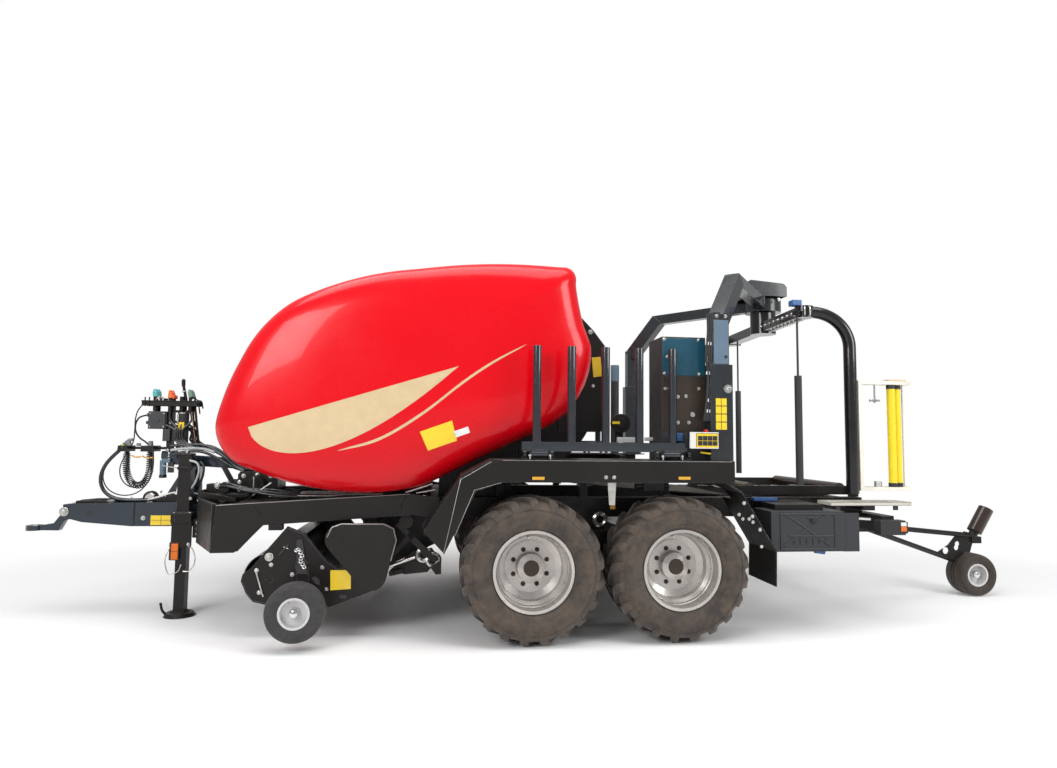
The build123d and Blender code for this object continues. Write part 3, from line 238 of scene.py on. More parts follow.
def rubber(name, color, dust_color, dust):
    """Tyre or hose rubber, dusty in patches."""
    s = Shader(name, color, 0.72)
    s.set("Sheen Weight", 0.15)
    s.set("Sheen Roughness", 0.5)
    patches = s.ramp(s.noise(9.0, 8.0, 0.7), 0.38, 0.70)
    s.feed(s.mix(s.math("MULTIPLY", patches, dust), color, dust_color), "Base Color")
    s.feed(s.ramp(s.noise(30.0, 5.0), 0.3, 0.7, 0.60, 0.86), "Roughness")
    grain = s.math("MULTIPLY", s.noise(320.0, 4.0, 0.7), 0.35)
    s.bump(s.math("ADD", grain, s.math("MULTIPLY", s.noise(46.0, 5.0, 0.65), 0.8)), 0.0012, 0.55)
    return s.material


SHELL_PAINTED_SHADE = (1.05, 1.75)      # heights over which the painted shade on a side cover fades out, so the cover grows lighter upwards


def glossy_shell(name, color):
    """Gel-coated moulded panel: deep gloss, barely visible waviness, painted shade that darkens it towards
    the bottom.
    """
    s = Shader(name, color, 0.3)
    s.set("Coat Weight", 0.22)
    s.set("Coat Roughness", 0.05)
    s.set("Specular IOR Level", 0.22)
    # painted shade: the colour is darker towards the bottom of the cover
    low = s.ramp(s.axis("Z"), *SHELL_PAINTED_SHADE)
    shade = s.mix(low, tinted(color, 0.78), color)
    waves = s.ramp(s.noise(1.6, 3.0), 0.35, 0.7, 0.0, 0.25)
    s.feed(s.mix(waves, shade, tinted(color, 1.12)), "Base Color")
    s.feed(s.ramp(s.noise(3.0, 5.0, 0.6), 0.3, 0.75, 0.20, 0.34), "Roughness")
    s.bump(s.noise(2.2, 2.0), 0.004, 0.10)
    return s.material


def decal(name, color, roughness=0.35):
    """Printed vinyl film."""
    s = Shader(name, color, roughness)
    s.set("Coat Weight", 0.4)
    clouds = s.ramp(s.noise(12.0, 4.0), 0.3, 0.75)
    s.feed(s.mix(clouds, tinted(color, 0.92), tinted(color, 1.05)), "Base Color")
    s.bump(s.noise(350.0, 2.0), 0.0001, 0.4)
    return s.material


def glow_plastic(name, color, roughness=0.15):
    """Lamp lens with fine ribs."""
    s = Shader(name, color, roughness)
    s.set("Transmission Weight", 0.25)
    s.set("IOR", 1.49)
    ribs = s.tree.nodes.new("ShaderNodeTexWave")
    ribs.inputs["Scale"].default_value = 60.0
    s.link(s.coords, ribs.inputs["Vector"])
    s.bump(ribs.outputs["Fac"], 0.0008, 0.6)
    return s.material


RED = (0.66, 0.0, 0.006)
M = {
    "cover": glossy_shell("cover_red", RED),
    "chassis": paint("chassis_black", (0.0125, 0.0108, 0.0100), 0.36, wear_and_highlight=0.85, dust=0.25, edge=0.006),
    "gloss_black": paint("gloss_black", (0.008, 0.008, 0.009), 0.20, wear_and_highlight=0.45, dust=0.08, coat=0.5),
    "matt_black": paint("matt_black", (0.014, 0.0125, 0.0115), 0.55, wear_and_highlight=0.35, dust=0.15),
    "drawbar": paint("drawbar_blue", (0.013, 0.021, 0.034), 0.18, wear_and_highlight=0.45, dust=0.1, edge=0.004, coat=0.7),
    "gantry": paint("gantry_grey", (0.022, 0.026, 0.029), 0.26, wear_and_highlight=0.6, dust=0.12, edge=0.006, coat=0.4),
    # light blue-grey paint of the valve and tank cap, also used as the painted reflection on the near mast
    "mast_blue": paint("mast_blue", (0.12, 0.18, 0.24), 0.32, wear_and_highlight=0.4, dust=0.1, edge=0.004),
    "dark_grey": paint("dark_grey", (0.040, 0.040, 0.042), 0.48, wear_and_highlight=0.3, dust=0.15),
    "teal": paint("cabinet_teal", (0.012, 0.075, 0.12), 0.26, wear_and_highlight=0.2, dust=0.1, coat=0.5),
    "rim": paint("rim_silver", (0.50, 0.475, 0.45), 0.30, wear_and_highlight=0.15, dust=0.25, metallic=0.55,
                 edge_color=(0.62, 0.60, 0.57)),
    "small_rim": paint("rim_light_grey", (0.60, 0.60, 0.60), 0.35, wear_and_highlight=0.2, dust=0.2, metallic=0.2,
                       edge_color=(0.7, 0.7, 0.7)),
    "bronze": paint("hub_bronze", (0.055, 0.042, 0.034), 0.42, wear_and_highlight=0.5, dust=0.3, metallic=0.4),
    "post_steel": paint("post_steel", (0.030, 0.036, 0.044), 0.14, wear_and_highlight=0.3, dust=0.05, metallic=0.5,
                        coat=1.0),
    "roller_brown": paint("roller_brown", (0.030, 0.016, 0.011), 0.16, wear_and_highlight=0.4, dust=0.1, coat=0.7),
    "cream": paint("cream", (0.70, 0.68, 0.60), 0.34, wear_and_highlight=0.3, dust=0.15, edge_color=(0.45, 0.44, 0.42)),
    "yellow": decal("blank_yellow", (0.86, 0.60, 0.02)),
    "white": decal("blank_white", (0.80, 0.80, 0.78)),
    "beige": decal("beige_film", (0.62, 0.47, 0.27)),
    "roller": plastic("roller_yellow", (0.88, 0.66, 0.01), 0.34, 500.0, 0.0002, 0.3),
    "steel": bare_metal("bare_steel", (0.56, 0.55, 0.53), 0.30),
    "zinc": bare_metal("zinc", (0.70, 0.69, 0.66), 0.26),
    "chrome": bare_metal("chrome", (0.80, 0.80, 0.80), 0.10),
    "rubber": rubber("black_rubber", (0.014, 0.014, 0.015), (0.05, 0.045, 0.04), 0.3),
    "cord_rubber": plastic("cord_sheath", (0.016, 0.017, 0.020), 0.28, 260.0, 0.0002, 0.3),
    "tyre": rubber("tyre_rubber", (0.033, 0.026, 0.022), (0.115, 0.082, 0.056), 0.75),
    "small_tyre": rubber("small_tyre_rubber", (0.022, 0.022, 0.023), (0.06, 0.055, 0.05), 0.5),
    "brown_tyre": rubber("turner_tyre_rubber", (0.022, 0.016, 0.012), (0.060, 0.040, 0.025), 0.6),
    "black_plastic": plastic("black_plastic", (0.018, 0.018, 0.019), 0.42),
    "grey_plastic": plastic("grey_plastic", (0.024, 0.026, 0.030), 0.46),
    "tray": paint("tray_beige", (0.60, 0.57, 0.50), 0.45, wear_and_highlight=0.4, dust=0.3, edge_color=(0.4, 0.38, 0.34)),
    "orange": glow_plastic("orange_lens", (0.95, 0.20, 0.01)),
    "red_lens": glow_plastic("red_lens", (0.75, 0.02, 0.01)),
    "blue_plastic": plastic("blue_plastic", (0.03, 0.11, 0.30), 0.35),
    "orange_plastic": plastic("orange_plastic", (0.75, 0.12, 0.02), 0.4),
    "lime_plastic": plastic("lime_plastic", (0.62, 0.66, 0.05), 0.4),
    "white_plastic": plastic("white_plastic", (0.72, 0.72, 0.70), 0.4),
    "coupling_teal": plastic("coupling_teal", (0.10, 0.42, 0.44), 0.35),
    "coupling_green": plastic("coupling_green", (0.16, 0.26, 0.20), 0.4),
    "grey_connector": plastic("grey_connector", (0.22, 0.24, 0.24), 0.45),
    "amber_plastic": plastic("amber_plastic", (0.70, 0.36, 0.03), 0.4),
    "light_hose": plastic("light_hose", (0.42, 0.44, 0.44), 0.4, 300.0),
    # pale metal lines laid along edges: painted highlight where light catches them
    "edge_highlight": bare_metal("painted_edge_highlight", (0.34, 0.33, 0.32), 0.35),
    "copper": bare_metal("coppery_steel", (0.45, 0.27, 0.18), 0.30),
}

NODE_MATERIALS = {
    "chassis": ("main_frame", "tandem_axle", "fenders", "feed_housing", "chamber", "tailgate",
                "front_housing", "gearbox", "jack_tube", "jack_leg", "hose_mast", "pickup_frame",
                "turner_arm", "table_mounts", "wrap_table", "rack_brackets"),
    "matt_black": ("chain_covers", "pickup_reel", "transfer_ramp"),
    "gloss_black": ("rotor_frame",),
    "post_steel": ("film_rack_left", "film_rack_right"),
    "roller_brown": ("turner_roller", "table_rollers"),
    "drawbar": ("drawbar", "hitch_eye"),
    "gantry": ("gantry", "rotor_hood"),
    "dark_grey": ("film_poles", "cabinet_and_tank"),
    "rim": tuple(f"rim_{place}" for place in ("front_left", "front_right", "rear_left", "rear_right")),
    "small_rim": ("gauge_rim_left", "gauge_rim_right", "turner_rim"),
    "cream": ("prestretch_frames",),
    "roller": ("prestretch_rollers",),
    "grey_plastic": ("toolbox",),
    "black_plastic": ("junction_box", "rear_lights", "control_panel"),
    "rubber": ("accumulator",),
    "tray": ("side_trays",),
    "steel": ("pickup_bands",),
}
for key, names in NODE_MATERIALS.items():
    for name in names:
        if name in NODES:
            NODES[name].data.materials.clear()
            NODES[name].data.materials.append(M[key])


# ---------------------------------------------------------------- mesh helpers
def bevel_edges(piece, width, angle):
    """Rounds the edges that are sharper than the angle in degrees."""
    edge = piece.modifiers.new("Edges", "BEVEL")
    edge.width = width
    edge.segments = 2
    edge.limit_method = "ANGLE"
    edge.angle_limit = math.radians(angle)


def new_piece(name, mesh_or_bm, body, material, smooth=40.0, bevel=0.0):
    """Object from a bmesh or mesh, riding on a body, smooth below the given angle."""
    if isinstance(mesh_or_bm, bmesh.types.BMesh):
        mesh = bpy.data.meshes.new(name)
        bmesh.ops.recalc_face_normals(mesh_or_bm, faces=mesh_or_bm.faces)
        mesh_or_bm.to_mesh(mesh)
        mesh_or_bm.free()
    else:
        mesh = mesh_or_bm
    mesh.materials.append(M[material])
    mesh.shade_smooth()
    mesh.set_sharp_from_angle(angle=math.radians(smooth))
    piece = bpy.data.objects.new(name, mesh)
    bpy.context.scene.collection.objects.link(piece)
    if bevel:
        bevel_edges(piece, bevel, 50)
    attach(piece, body)
    return piece


def basis(axis, up=Vector((0, 0, 1))):
    """Rotation that takes +Z to the axis."""
    axis = Vector(axis).normalized()
    side = up.cross(axis)
    if side.length < 1e-6:
        side = Vector((1, 0, 0))
    side.normalize()
    return Matrix((side, axis.cross(side), axis)).transposed()


def add_box(bm, centre, size, axis=None, up=Vector((0, 0, 1))):
    """Box with its third size along the axis, which is +Z where none is given."""
    turn = basis(axis, up) if axis is not None else Matrix.Identity(3)
    place = Matrix.Translation(Vector(centre)) @ turn.to_4x4() @ Matrix.Diagonal((*size, 1))
    bmesh.ops.create_cube(bm, size=1.0, matrix=place)


def steps(first, pitch, count):
    """Values at equal steps from the first."""
    return [first + pitch * k for k in range(count)]


def round_angles(count):
    """Angles at equal steps round a circle."""
    return [2 * math.pi * k / count for k in range(count)]


def skin(bm, rows, around=True):
    """Faces between rows of as many points, also from each row's last point to its first where around."""
    for low, high in zip(rows, rows[1:]):
        count = len(low)
        for k in range(count if around else count - 1):
            m = (k + 1) % count
            bm.faces.new((low[k], low[m], high[m], high[k]))


def add_rod(bm, start, end, radius, end_radius=None, segments=20):
    """Cylinder or cone between two points, with small chamfers."""
    start, end = Vector(start), Vector(end)
    end_radius = radius if end_radius is None else end_radius
    length = (end - start).length
    chamfer = min(0.002, radius * 0.2, length * 0.2)
    rings = ((0, radius - chamfer), (chamfer, radius), (length - chamfer, end_radius),
             (length, end_radius - chamfer))
    turn = basis(end - start)
    angles = round_angles(segments)
    rows = [[bm.verts.new(start + turn @ Vector((r * math.cos(angle), r * math.sin(angle), height)))
             for angle in angles] for height, r in rings]
    skin(bm, rows)
    bm.faces.new(rows[0][::-1])
    bm.faces.new(rows[-1])


def add_bolt(bm, place, axis, size=0.012, washer=True):
    """Hexagon head on a washer; size is the head's radius."""
    place, axis = Vector(place), Vector(axis).normalized()
    if washer:
        add_rod(bm, place, place + axis * size * 0.28, size * 1.45, segments=18)
    add_rod(bm, place + axis * size * 0.2, place + axis * size * 1.05, size, segments=6)
    add_rod(bm, place + axis * size * 0.9, place + axis * size * 1.45, size * 0.55, segments=12)


def add_tube(bm, points, radius, segments=12, closed=False):
    """Tube of one radius, or of a radius for each point, through points."""
    points = [Vector(p) for p in points]
    count = len(points)
    radii = [radius] * count if isinstance(radius, (int, float)) else list(radius)
    rows = []
    normal = None
    for i, point in enumerate(points):
        ahead = points[(i + 1) % count] if closed or i + 1 < count else point
        behind = points[i - 1] if closed or i > 0 else point
        direction = (ahead - behind).normalized()
        if normal is None:
            normal = direction.orthogonal().normalized()
        normal = (normal - direction * normal.dot(direction)).normalized()
        side = direction.cross(normal)
        rows.append([bm.verts.new(point + (normal * math.cos(angle) + side * math.sin(angle)) * radii[i])
                     for angle in round_angles(segments)])
    skin(bm, rows + rows[:1] if closed else rows)
    if not closed:
        bm.faces.new(rows[0][::-1])
        bm.faces.new(rows[-1])


def smooth_line(points, per_run=6):
    """Points along a Catmull-Rom curve through the given ones."""
    points = [Vector(p) for p in points]
    ends = [points[0] * 2 - points[1]] + points + [points[-1] * 2 - points[-2]]
    line = []
    for a, b, c, d in zip(ends, ends[1:], ends[2:], ends[3:]):
        for k in range(per_run):
            t = k / per_run
            line.append(0.5 * (2 * b + (c - a) * t + (2 * a - 5 * b + 4 * c - d) * t * t
                               + (3 * b - a - 3 * c + d) * t ** 3))
    return line + [points[-1]]


def spin_point(centre, y, radius, angle):
    """Point at a radius and angle about the Y direction, y off the centre."""
    return centre + Vector((radius * math.sin(angle), y, radius * math.cos(angle)))


def add_hoop(bm, centre, y, radius, wire, count, segments):
    """Round wire in a closed hoop about the Y direction."""
    line = [spin_point(centre, y, radius, angle) for angle in round_angles(count)]
    add_tube(bm, line, wire, segments, closed=True)


def revolve(bm, profile, centre, side=1, segments=96):
    """Ring about the Y direction from (y, radius) points."""
    rows = [[bm.verts.new(spin_point(centre, side * y, r, angle)) for y, r in profile]
            for angle in round_angles(segments)]
    skin(bm, rows + rows[:1])


# the slot that a material belongs to unless a piece says another
SLOT_MATERIALS = {
    "toolbox_plastic": ("black_plastic", "grey_plastic", "grey_connector", "lime_plastic"),
    "bare_steel": ("zinc", "steel", "copper", "edge_highlight", "chrome"),
    "chassis_paint": ("chassis", "matt_black", "dark_grey", "gloss_black"),
    "drawbar_paint": ("rubber",),
    "cover_paint": ("yellow", "white"),
    "cable_rubber": ("cord_rubber", "coupling_teal", "coupling_green", "light_hose"),
    "panel_plastic": ("white_plastic", "blue_plastic"),
    "lamp_lens": ("orange", "orange_plastic", "amber_plastic", "red_lens"),
    "gantry_paint": ("mast_blue",),
    "cabinet_paint": ("teal", "bronze"),
    "cream_paint": ("beige",),
}
DEFAULT_SLOTS = {key: slot for slot, keys in SLOT_MATERIALS.items() for key in keys}


class Build:
    """Shapes in (x, y, z) from the middle of the axle, made into one piece.

    Where both is set, the piece has a mirrored copy of them at the other side.
    """

    def __init__(self, name, material, slot=None, body="frame", smooth=40.0, bevel=0.0, both=False):
        self.settings = (name, body, material, slot or DEFAULT_SLOTS[material], smooth, bevel, both)
        self.bm = bmesh.new()

    def __enter__(self):
        return self

    def __exit__(self, kind, value, trace):
        name, body, material, slot, smooth, bevel, both = self.settings
        if kind is None:
            if both:
                shapes = self.bm.verts[:] + self.bm.edges[:] + self.bm.faces[:]
                for item in bmesh.ops.duplicate(self.bm, geom=shapes)["geom"]:
                    if isinstance(item, bmesh.types.BMVert):
                        item.co.y = -item.co.y
            new_piece(name, self.bm, body, material, smooth, bevel)

    def box(self, x, y, z):
        """Box between low and high values on each axis."""
        low, high = at(x[0], y[0], z[0]), at(x[1], y[1], z[1])
        add_box(self.bm, (low + high) / 2, high - low)

    def slab(self, start, end, width, depth, up=(0, 0, 1)):
        """Flat bar from one point to another."""
        start, end = at(*start), at(*end)
        add_box(self.bm, (start + end) / 2, (width, depth, (end - start).length), end - start, Vector(up))

    def rod(self, start, end, radius, end_radius=None):
        add_rod(self.bm, at(*start), at(*end), radius, end_radius)

    def bolt(self, place, axis=(0, 1, 0), size=0.012, washer=True):
        add_bolt(self.bm, at(*place), axis, size, washer)

    def bolts(self, y, size, places):
        """Bolts facing left at (x, z) places."""
        for x, z in places:
            self.bolt((x, y, z), size=size)

    def post(self, x, y, z, radius, end_radius=None):
        """Upright rod between two heights."""
        self.rod((x, y, z[0]), (x, y, z[1]), radius, end_radius)

    def disc(self, x, z, y, radius):
        """Round boss between two y values."""
        self.rod((x, y[0], z), (x, y[1], z), radius)

    def tube(self, points, radius, per_run=6, segments=10):
        line = smooth_line(points, per_run) if per_run else points
        add_tube(self.bm, [at(*p) for p in line], radius, segments)

    def ring(self, profile, place, segments=40):
        """Ring about the Y direction from (y, radius) points."""
        revolve(self.bm, profile, at(*place), segments=segments)

    def plate(self, outline, y):
        """Plate with an (x, z) outline between two y values."""
        rows = [[self.bm.verts.new(at(x, level, z)) for x, z in outline] for level in y]
        skin(self.bm, rows)
        for row in rows:
            self.bm.faces.new(row)

    def line(self, points, y, radius=0.006):
        """Raised line through (x, z) points at one y."""
        self.tube([(x, y, z) for x, z in points], radius, per_run=0, segments=8)


def block(name, material, x, y, z, **settings):
    """Piece of one box between low and high values on each axis."""
    with Build(name, material, **settings) as build:
        build.box(x, y, z)


# ---------------------------------------------------------------- cords at the front
CORD_ROUTES = {
    "front_hose": (0.930, 0.030, (
        (3.940, 0.080, 1.385), (4.018, 0.082, 1.312), (4.084, 0.084, 1.222), (4.112, 0.084, 1.115),
        (4.082, 0.082, 1.015), (4.004, 0.078, 0.955), (3.905, 0.072, 0.937), (3.800, 0.066, 0.936),
        (3.700, 0.060, 0.939), (3.600, 0.056, 0.942))),
    "curly_cable": (0.712, 0.062, (
        (3.938, 0.002, 1.365), (3.943, 0.002, 1.270), (3.938, 0.000, 1.175), (3.908, -0.002, 1.097),
        (3.870, -0.002, 1.058), (3.815, -0.001, 1.056), (3.776, 0.000, 1.092), (3.750, 0.002, 1.160),
        (3.745, 0.004, 1.260), (3.750, 0.004, 1.370))),
    "lamp_cable": (1.081, 0.010, (
        (3.955, 0.048, 1.380), (4.035, 0.050, 1.318), (4.096, 0.052, 1.212), (4.104, 0.052, 1.095),
        (4.040, 0.052, 1.005), (3.930, 0.054, 0.968), (3.815, 0.054, 0.992), (3.735, 0.054, 1.078),
        (3.702, 0.052, 1.190), (3.700, 0.050, 1.290), (3.712, 0.048, 1.370))),
    "control_cable": (1.260, 0.010, (
        (3.818, -0.040, 1.784), (3.880, -0.045, 1.735), (3.912, -0.055, 1.645), (3.917, -0.072, 1.530),
        (3.926, -0.085, 1.420), (3.985, -0.082, 1.320), (4.024, -0.068, 1.220), (4.012, -0.058, 1.120),
        (3.950, -0.054, 1.046), (3.870, -0.052, 1.030), (3.802, -0.050, 1.095), (3.774, -0.050, 1.195),
        (3.770, -0.048, 1.290), (3.766, -0.046, 1.370))),
    "box_cable": (0.432, 0.014, (
        (3.757, -0.010, 1.668), (3.848, -0.009, 1.662), (3.887, -0.007, 1.603), (3.888, -0.005, 1.525),
        (3.846, -0.003, 1.462), (3.790, -0.001, 1.432), (3.748, 0.000, 1.385))),
}


def route_curve(name, points, radius=0.0):
    """Smooth curve whose control points are the route's points."""
    data = bpy.data.curves.new(name, "CURVE")
    data.dimensions = "3D"
    spline = data.splines.new("NURBS")
    spline.points.add(len(points) - 1)
    for control, place in zip(spline.points, points):
        control.co = (*at(*place), 1)
    spline.order_u = 3
    spline.use_endpoint_u = True
    spline.resolution_u = 12
    data.bevel_depth = radius
    data.bevel_resolution = 5
    curve = bpy.data.objects.new(name, data)
    bpy.context.scene.collection.objects.link(curve)
    return curve


def route_line(name, points):
    """Points along the route's smooth curve."""
    curve = route_curve(name, points)
    bpy.context.view_layer.update()
    mesh = bpy.data.meshes.new_from_object(curve)
    line = [vertex.co.copy() for vertex in mesh.vertices]
    bpy.data.objects.remove(curve)
    return line


def even_line(line, count):
    """The same line with points at equal distances."""
    lengths = [(b - a).length for a, b in zip(line, line[1:])]
    total = sum(lengths)
    result, i, walked = [], 0, 0.0
    for k in range(count):
        target = total * k / (count - 1)
        while i < len(lengths) - 1 and walked + lengths[i] < target:
            walked += lengths[i]
            i += 1
        share = (target - walked) / lengths[i] if lengths[i] else 0.0
        result.append(line[i].lerp(line[i + 1], min(1.0, share)))
    return result


CURL_TURNS = 44
CURL_WIRE = 0.0105          # diameter of the wire that is wound


def curly_cable(name, points, diameter):
    """Wire wound round the route, in narrower turns at both ends."""
    line = even_line(route_line(f"{name}_route", points), CURL_TURNS * 14 + 1)
    count = len(line)
    wound = []
    normal = None
    for i, point in enumerate(line):
        direction = (line[min(i + 1, count - 1)] - line[max(i - 1, 0)]).normalized()
        normal = direction.orthogonal().normalized() if normal is None else normal
        normal = (normal - direction * normal.dot(direction)).normalized()
        side = direction.cross(normal)
        t = i / (count - 1)
        reach = (diameter - CURL_WIRE) / 2 * (0.35 + 0.65 * min(1.0, t / 0.06, (1 - t) / 0.06))
        angle = 2 * math.pi * CURL_TURNS * t
        wound.append(point + (normal * math.cos(angle) + side * math.sin(angle)) * reach)
    bm = bmesh.new()
    add_tube(bm, wound, CURL_WIRE / 2, 8)
    piece = new_piece(f"wound_{name}", bm, "frame", "cord_rubber", smooth=60)
    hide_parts(name)


for name, (length, diameter, points) in CORD_ROUTES.items():
    if name == "curly_cable":
        curly_cable(name, points, diameter)
        continue
    piece = route_curve(f"smooth_{name}", points, diameter / 2)
    piece.data.materials.append(M["cord_rubber" if name == "front_hose" else "rubber"])
    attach(piece, "frame")
    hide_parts(name)
with Build("cord_sleeves", "black_plastic", "cable_rubber") as b:
    for length, diameter, points in CORD_ROUTES.values():
        thin = diameter / 2 if diameter < 0.05 else CURL_WIRE / 2
        for first, second in ((points[0], points[1]), (points[-1], points[-2])):
            way = (Vector(second) - Vector(first)).normalized()
            start = Vector(first) - way * 0.004
            b.rod(start, start + way * 0.034, thin * 1.9 + 0.002, thin * 1.15)


# ---------------------------------------------------------------- main wheels
LUG_COUNT = 21
LUG_DEPTH = 0.030
WHEEL_NUTS = 8
WHEEL_NUT_CIRCLE = 0.1375   # radius
# radius, share of half the tyre's width
SIDEWALL_RINGS = ((0.345, 0.91675), (0.372, 0.93575), (0.452, 0.970225))
# share of half the tyre's width, share of the height between seat and lug valleys
SIDEWALL = ((0.80, 0.03), (0.86, 0.10), (0.93, 0.24), (0.975, 0.42), (0.99, 0.56), (0.975, 0.70),
            (0.93, 0.82), (0.86, 0.90), (0.76, 0.955), (0.60, 0.985), (0.35, 0.998), (0.0, 1.0))


def tyre_profile(half_width, seat, top):
    """Half of a tyre's outline, bead to crown."""
    return [(y * half_width, seat + h * (top - seat)) for y, h in SIDEWALL]


def crown_radius(y, half_width, seat, top):
    """Radius of the carcass at a distance from its middle, on the tread and shoulder."""
    share = abs(y) / half_width
    outline = SIDEWALL[4:][::-1]
    for (y0, h0), (y1, h1) in zip(outline, outline[1:]):
        if share <= y1:
            return seat + (top - seat) * (h0 + (h1 - h0) * (share - y0) / (y1 - y0))
    return seat + (top - seat) * outline[-1][1]


def add_lug(bm, centre, side, angle, half_width, seat, top, outer):
    """Curved tread bar from beside the middle, over the shoulder, down onto the sidewall."""
    rows = []
    for t in steps(0, 1 / 8, 9):
        y = half_width * (0.03 + 0.925 * t)
        sweep = 0.30 * (1 - t) ** 1.6
        base = crown_radius(y, half_width, seat, top) - 0.012
        shoulder = max(0.0, t - 0.72) / 0.28
        crest = min(outer - 0.004 * t * t, base + 0.012 + LUG_DEPTH * (1 - 0.55 * shoulder ** 2))
        wide = (0.062 + 0.026 * t) / outer / 2
        narrow = wide * 0.70
        rows.append([bm.verts.new(spin_point(centre, side * y, r, angle + sweep + w))
                     for r, w in ((base, -wide), (crest, -narrow), (crest, narrow), (base, wide))])
    skin(bm, rows, around=False)
    bm.faces.new(rows[0])
    bm.faces.new(rows[-1][::-1])


def main_tyre(place):
    """Traction tyre with chunky lugs inside the CAD tyre's outline."""
    node = f"tyre_{place}"
    low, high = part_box(node)
    centre = (low + high) / 2
    outer = (high.z - low.z) / 2
    half_width = (high.y - low.y) / 2 - 0.002
    rim_low, rim_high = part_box(f"rim_{place}")
    flange = (rim_high.z - rim_low.z) / 2
    bead = (rim_high.y - rim_low.y) / 2 - 0.013
    seat = flange - 0.012
    top = outer - LUG_DEPTH
    half = [(bead, seat), (bead, flange + 0.002)] + tyre_profile(half_width, flange, top)
    half = [(y, r) for y, r in half if y > 1e-6]
    profile = half + [(0.0, top)] + [(-y, r) for y, r in reversed(half)]
    bm = bmesh.new()
    revolve(bm, profile, centre, segments=120)
    for i in range(LUG_COUNT):
        pitch = 2 * math.pi / LUG_COUNT
        add_lug(bm, centre, 1, i * pitch, half_width, flange, top, outer - 0.0005)
        add_lug(bm, centre, -1, (i + 0.5) * pitch, half_width, flange, top, outer - 0.0005)
    for radius, share in SIDEWALL_RINGS:
        for s in (1, -1):
            add_hoop(bm, centre, s * half_width * share, radius, 0.0035, 90, 6)
    piece = new_piece(f"lugged_tyre_{place}", bm, f"wheel_{place}", "tyre", smooth=38)
    bevel_edges(piece, 0.004, 38)
    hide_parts(node)


def wheel_fittings(place, side):
    """Studs with nuts, hub cap with its bolts, and the valve."""
    low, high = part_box(f"rim_{place}")
    centre = (low + high) / 2
    face = -0.020 * side
    outward = Vector((0, side, 0))
    bm = bmesh.new()
    for i in range(WHEEL_NUTS):
        angle = 2 * math.pi * (i + 0.5) / WHEEL_NUTS
        add_bolt(bm, spin_point(centre, face, WHEEL_NUT_CIRCLE, angle), outward, 0.0125)
    new_piece(f"wheel_nuts_{place}", bm, f"wheel_{place}", "bronze")
    bm = bmesh.new()
    profile = ((0.0, 0.106), (0.022, 0.104), (0.030, 0.092), (0.046, 0.088), (0.060, 0.060), (0.066, 0.056),
               (0.066, 0.0005), (0.0, 0.0005))
    revolve(bm, profile, centre, side, 64)
    for angle in round_angles(6):
        add_bolt(bm, spin_point(centre, 0.046 * side, 0.076, angle), outward, 0.006, False)
    new_piece(f"hub_cap_{place}", bm, f"wheel_{place}", "bronze", smooth=30)
    bm = bmesh.new()
    foot = spin_point(centre, 0.0, 0.232, 0.12)
    add_rod(bm, foot + outward * 0.02, foot + outward * 0.075, 0.0055)
    add_rod(bm, foot + outward * 0.072, foot + outward * 0.092, 0.0075)
    new_piece(f"valve_{place}", bm, f"wheel_{place}", "zinc")
    bm = bmesh.new()
    half = (high.y - low.y) / 2
    flange = (high.z - low.z) / 2
    for radius, y in ((flange - 0.004, half - 0.003), (0.262, 0.095)):
        add_hoop(bm, centre, side * y, radius, 0.0036, 96, 8)
    new_piece(f"rim_bead_{place}", bm, f"wheel_{place}", "rim")


for place, side in (("front_left", 1), ("front_right", -1), ("rear_left", 1), ("rear_right", -1)):
    main_tyre(place)
    wheel_fittings(place, side)


# ---------------------------------------------------------------- small wheels
def small_tyre(node, rim_node, body, material):
    """Ribbed implement tyre."""
    low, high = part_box(node)
    centre = (low + high) / 2
    outer = (high.z - low.z) / 2
    half_width = (high.y - low.y) / 2 - 0.001
    rim_low, rim_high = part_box(rim_node)
    flange = (rim_high.z - rim_low.z) / 2
    bead = (rim_high.y - rim_low.y) / 2 - 0.009
    top = outer - 0.0005
    half = [(bead, flange - 0.008), (bead, flange + 0.002)] + tyre_profile(half_width, flange, top)
    half = [(y, r) for y, r in half if y > 0.30 * half_width]
    groove = 0.007
    for y in (0.42, 0.14):
        edge = half_width * y
        half += [(edge + 0.008, top), (edge + 0.005, top - groove), (edge - 0.001, top - groove),
                 (edge - 0.004, top)]
    profile = half + [(-y, r) for y, r in reversed(half)]
    bm = bmesh.new()
    revolve(bm, profile, centre, segments=72)
    piece = new_piece(f"moulded_{node}", bm, body, material, smooth=35, bevel=0.0015)
    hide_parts(node)
    return centre


def small_hub(name, centre, side, body, face):
    """Hub cap with its dome, three bolts and a valve on a small rim."""
    outward = Vector((0, side, 0))
    bm = bmesh.new()
    profile = ((0.0, 0.034), (0.020, 0.033), (0.034, 0.026), (0.040, 0.012), (0.041, 0.0005), (0.0, 0.0005))
    revolve(bm, profile, centre + outward * face, side, 40)
    new_piece(f"{name}_cap", bm, body, "chrome", smooth=30)
    bm = bmesh.new()
    for angle in round_angles(3):
        add_bolt(bm, spin_point(centre + outward * (face - 0.045), 0, 0.058, angle + 0.4), outward, 0.007)
    foot = spin_point(centre, side * (face - 0.02), 0.080, 0.6)
    add_rod(bm, foot, foot + outward * 0.035, 0.004)
    new_piece(f"{name}_bolts", bm, body, "zinc")


for side_name, side in (("left", 1), ("right", -1)):
    body = f"gauge_wheel_{side_name}"
    centre = small_tyre(f"gauge_tyre_{side_name}", f"gauge_rim_{side_name}", body, "small_tyre")
    small_hub(f"gauge_hub_{side_name}", centre, side, body, 0.030)
centre = small_tyre("turner_tyre", "turner_rim", "turner_wheel", "brown_tyre")
small_hub("turner_hub", centre, 1, "turner_wheel", 0.050)

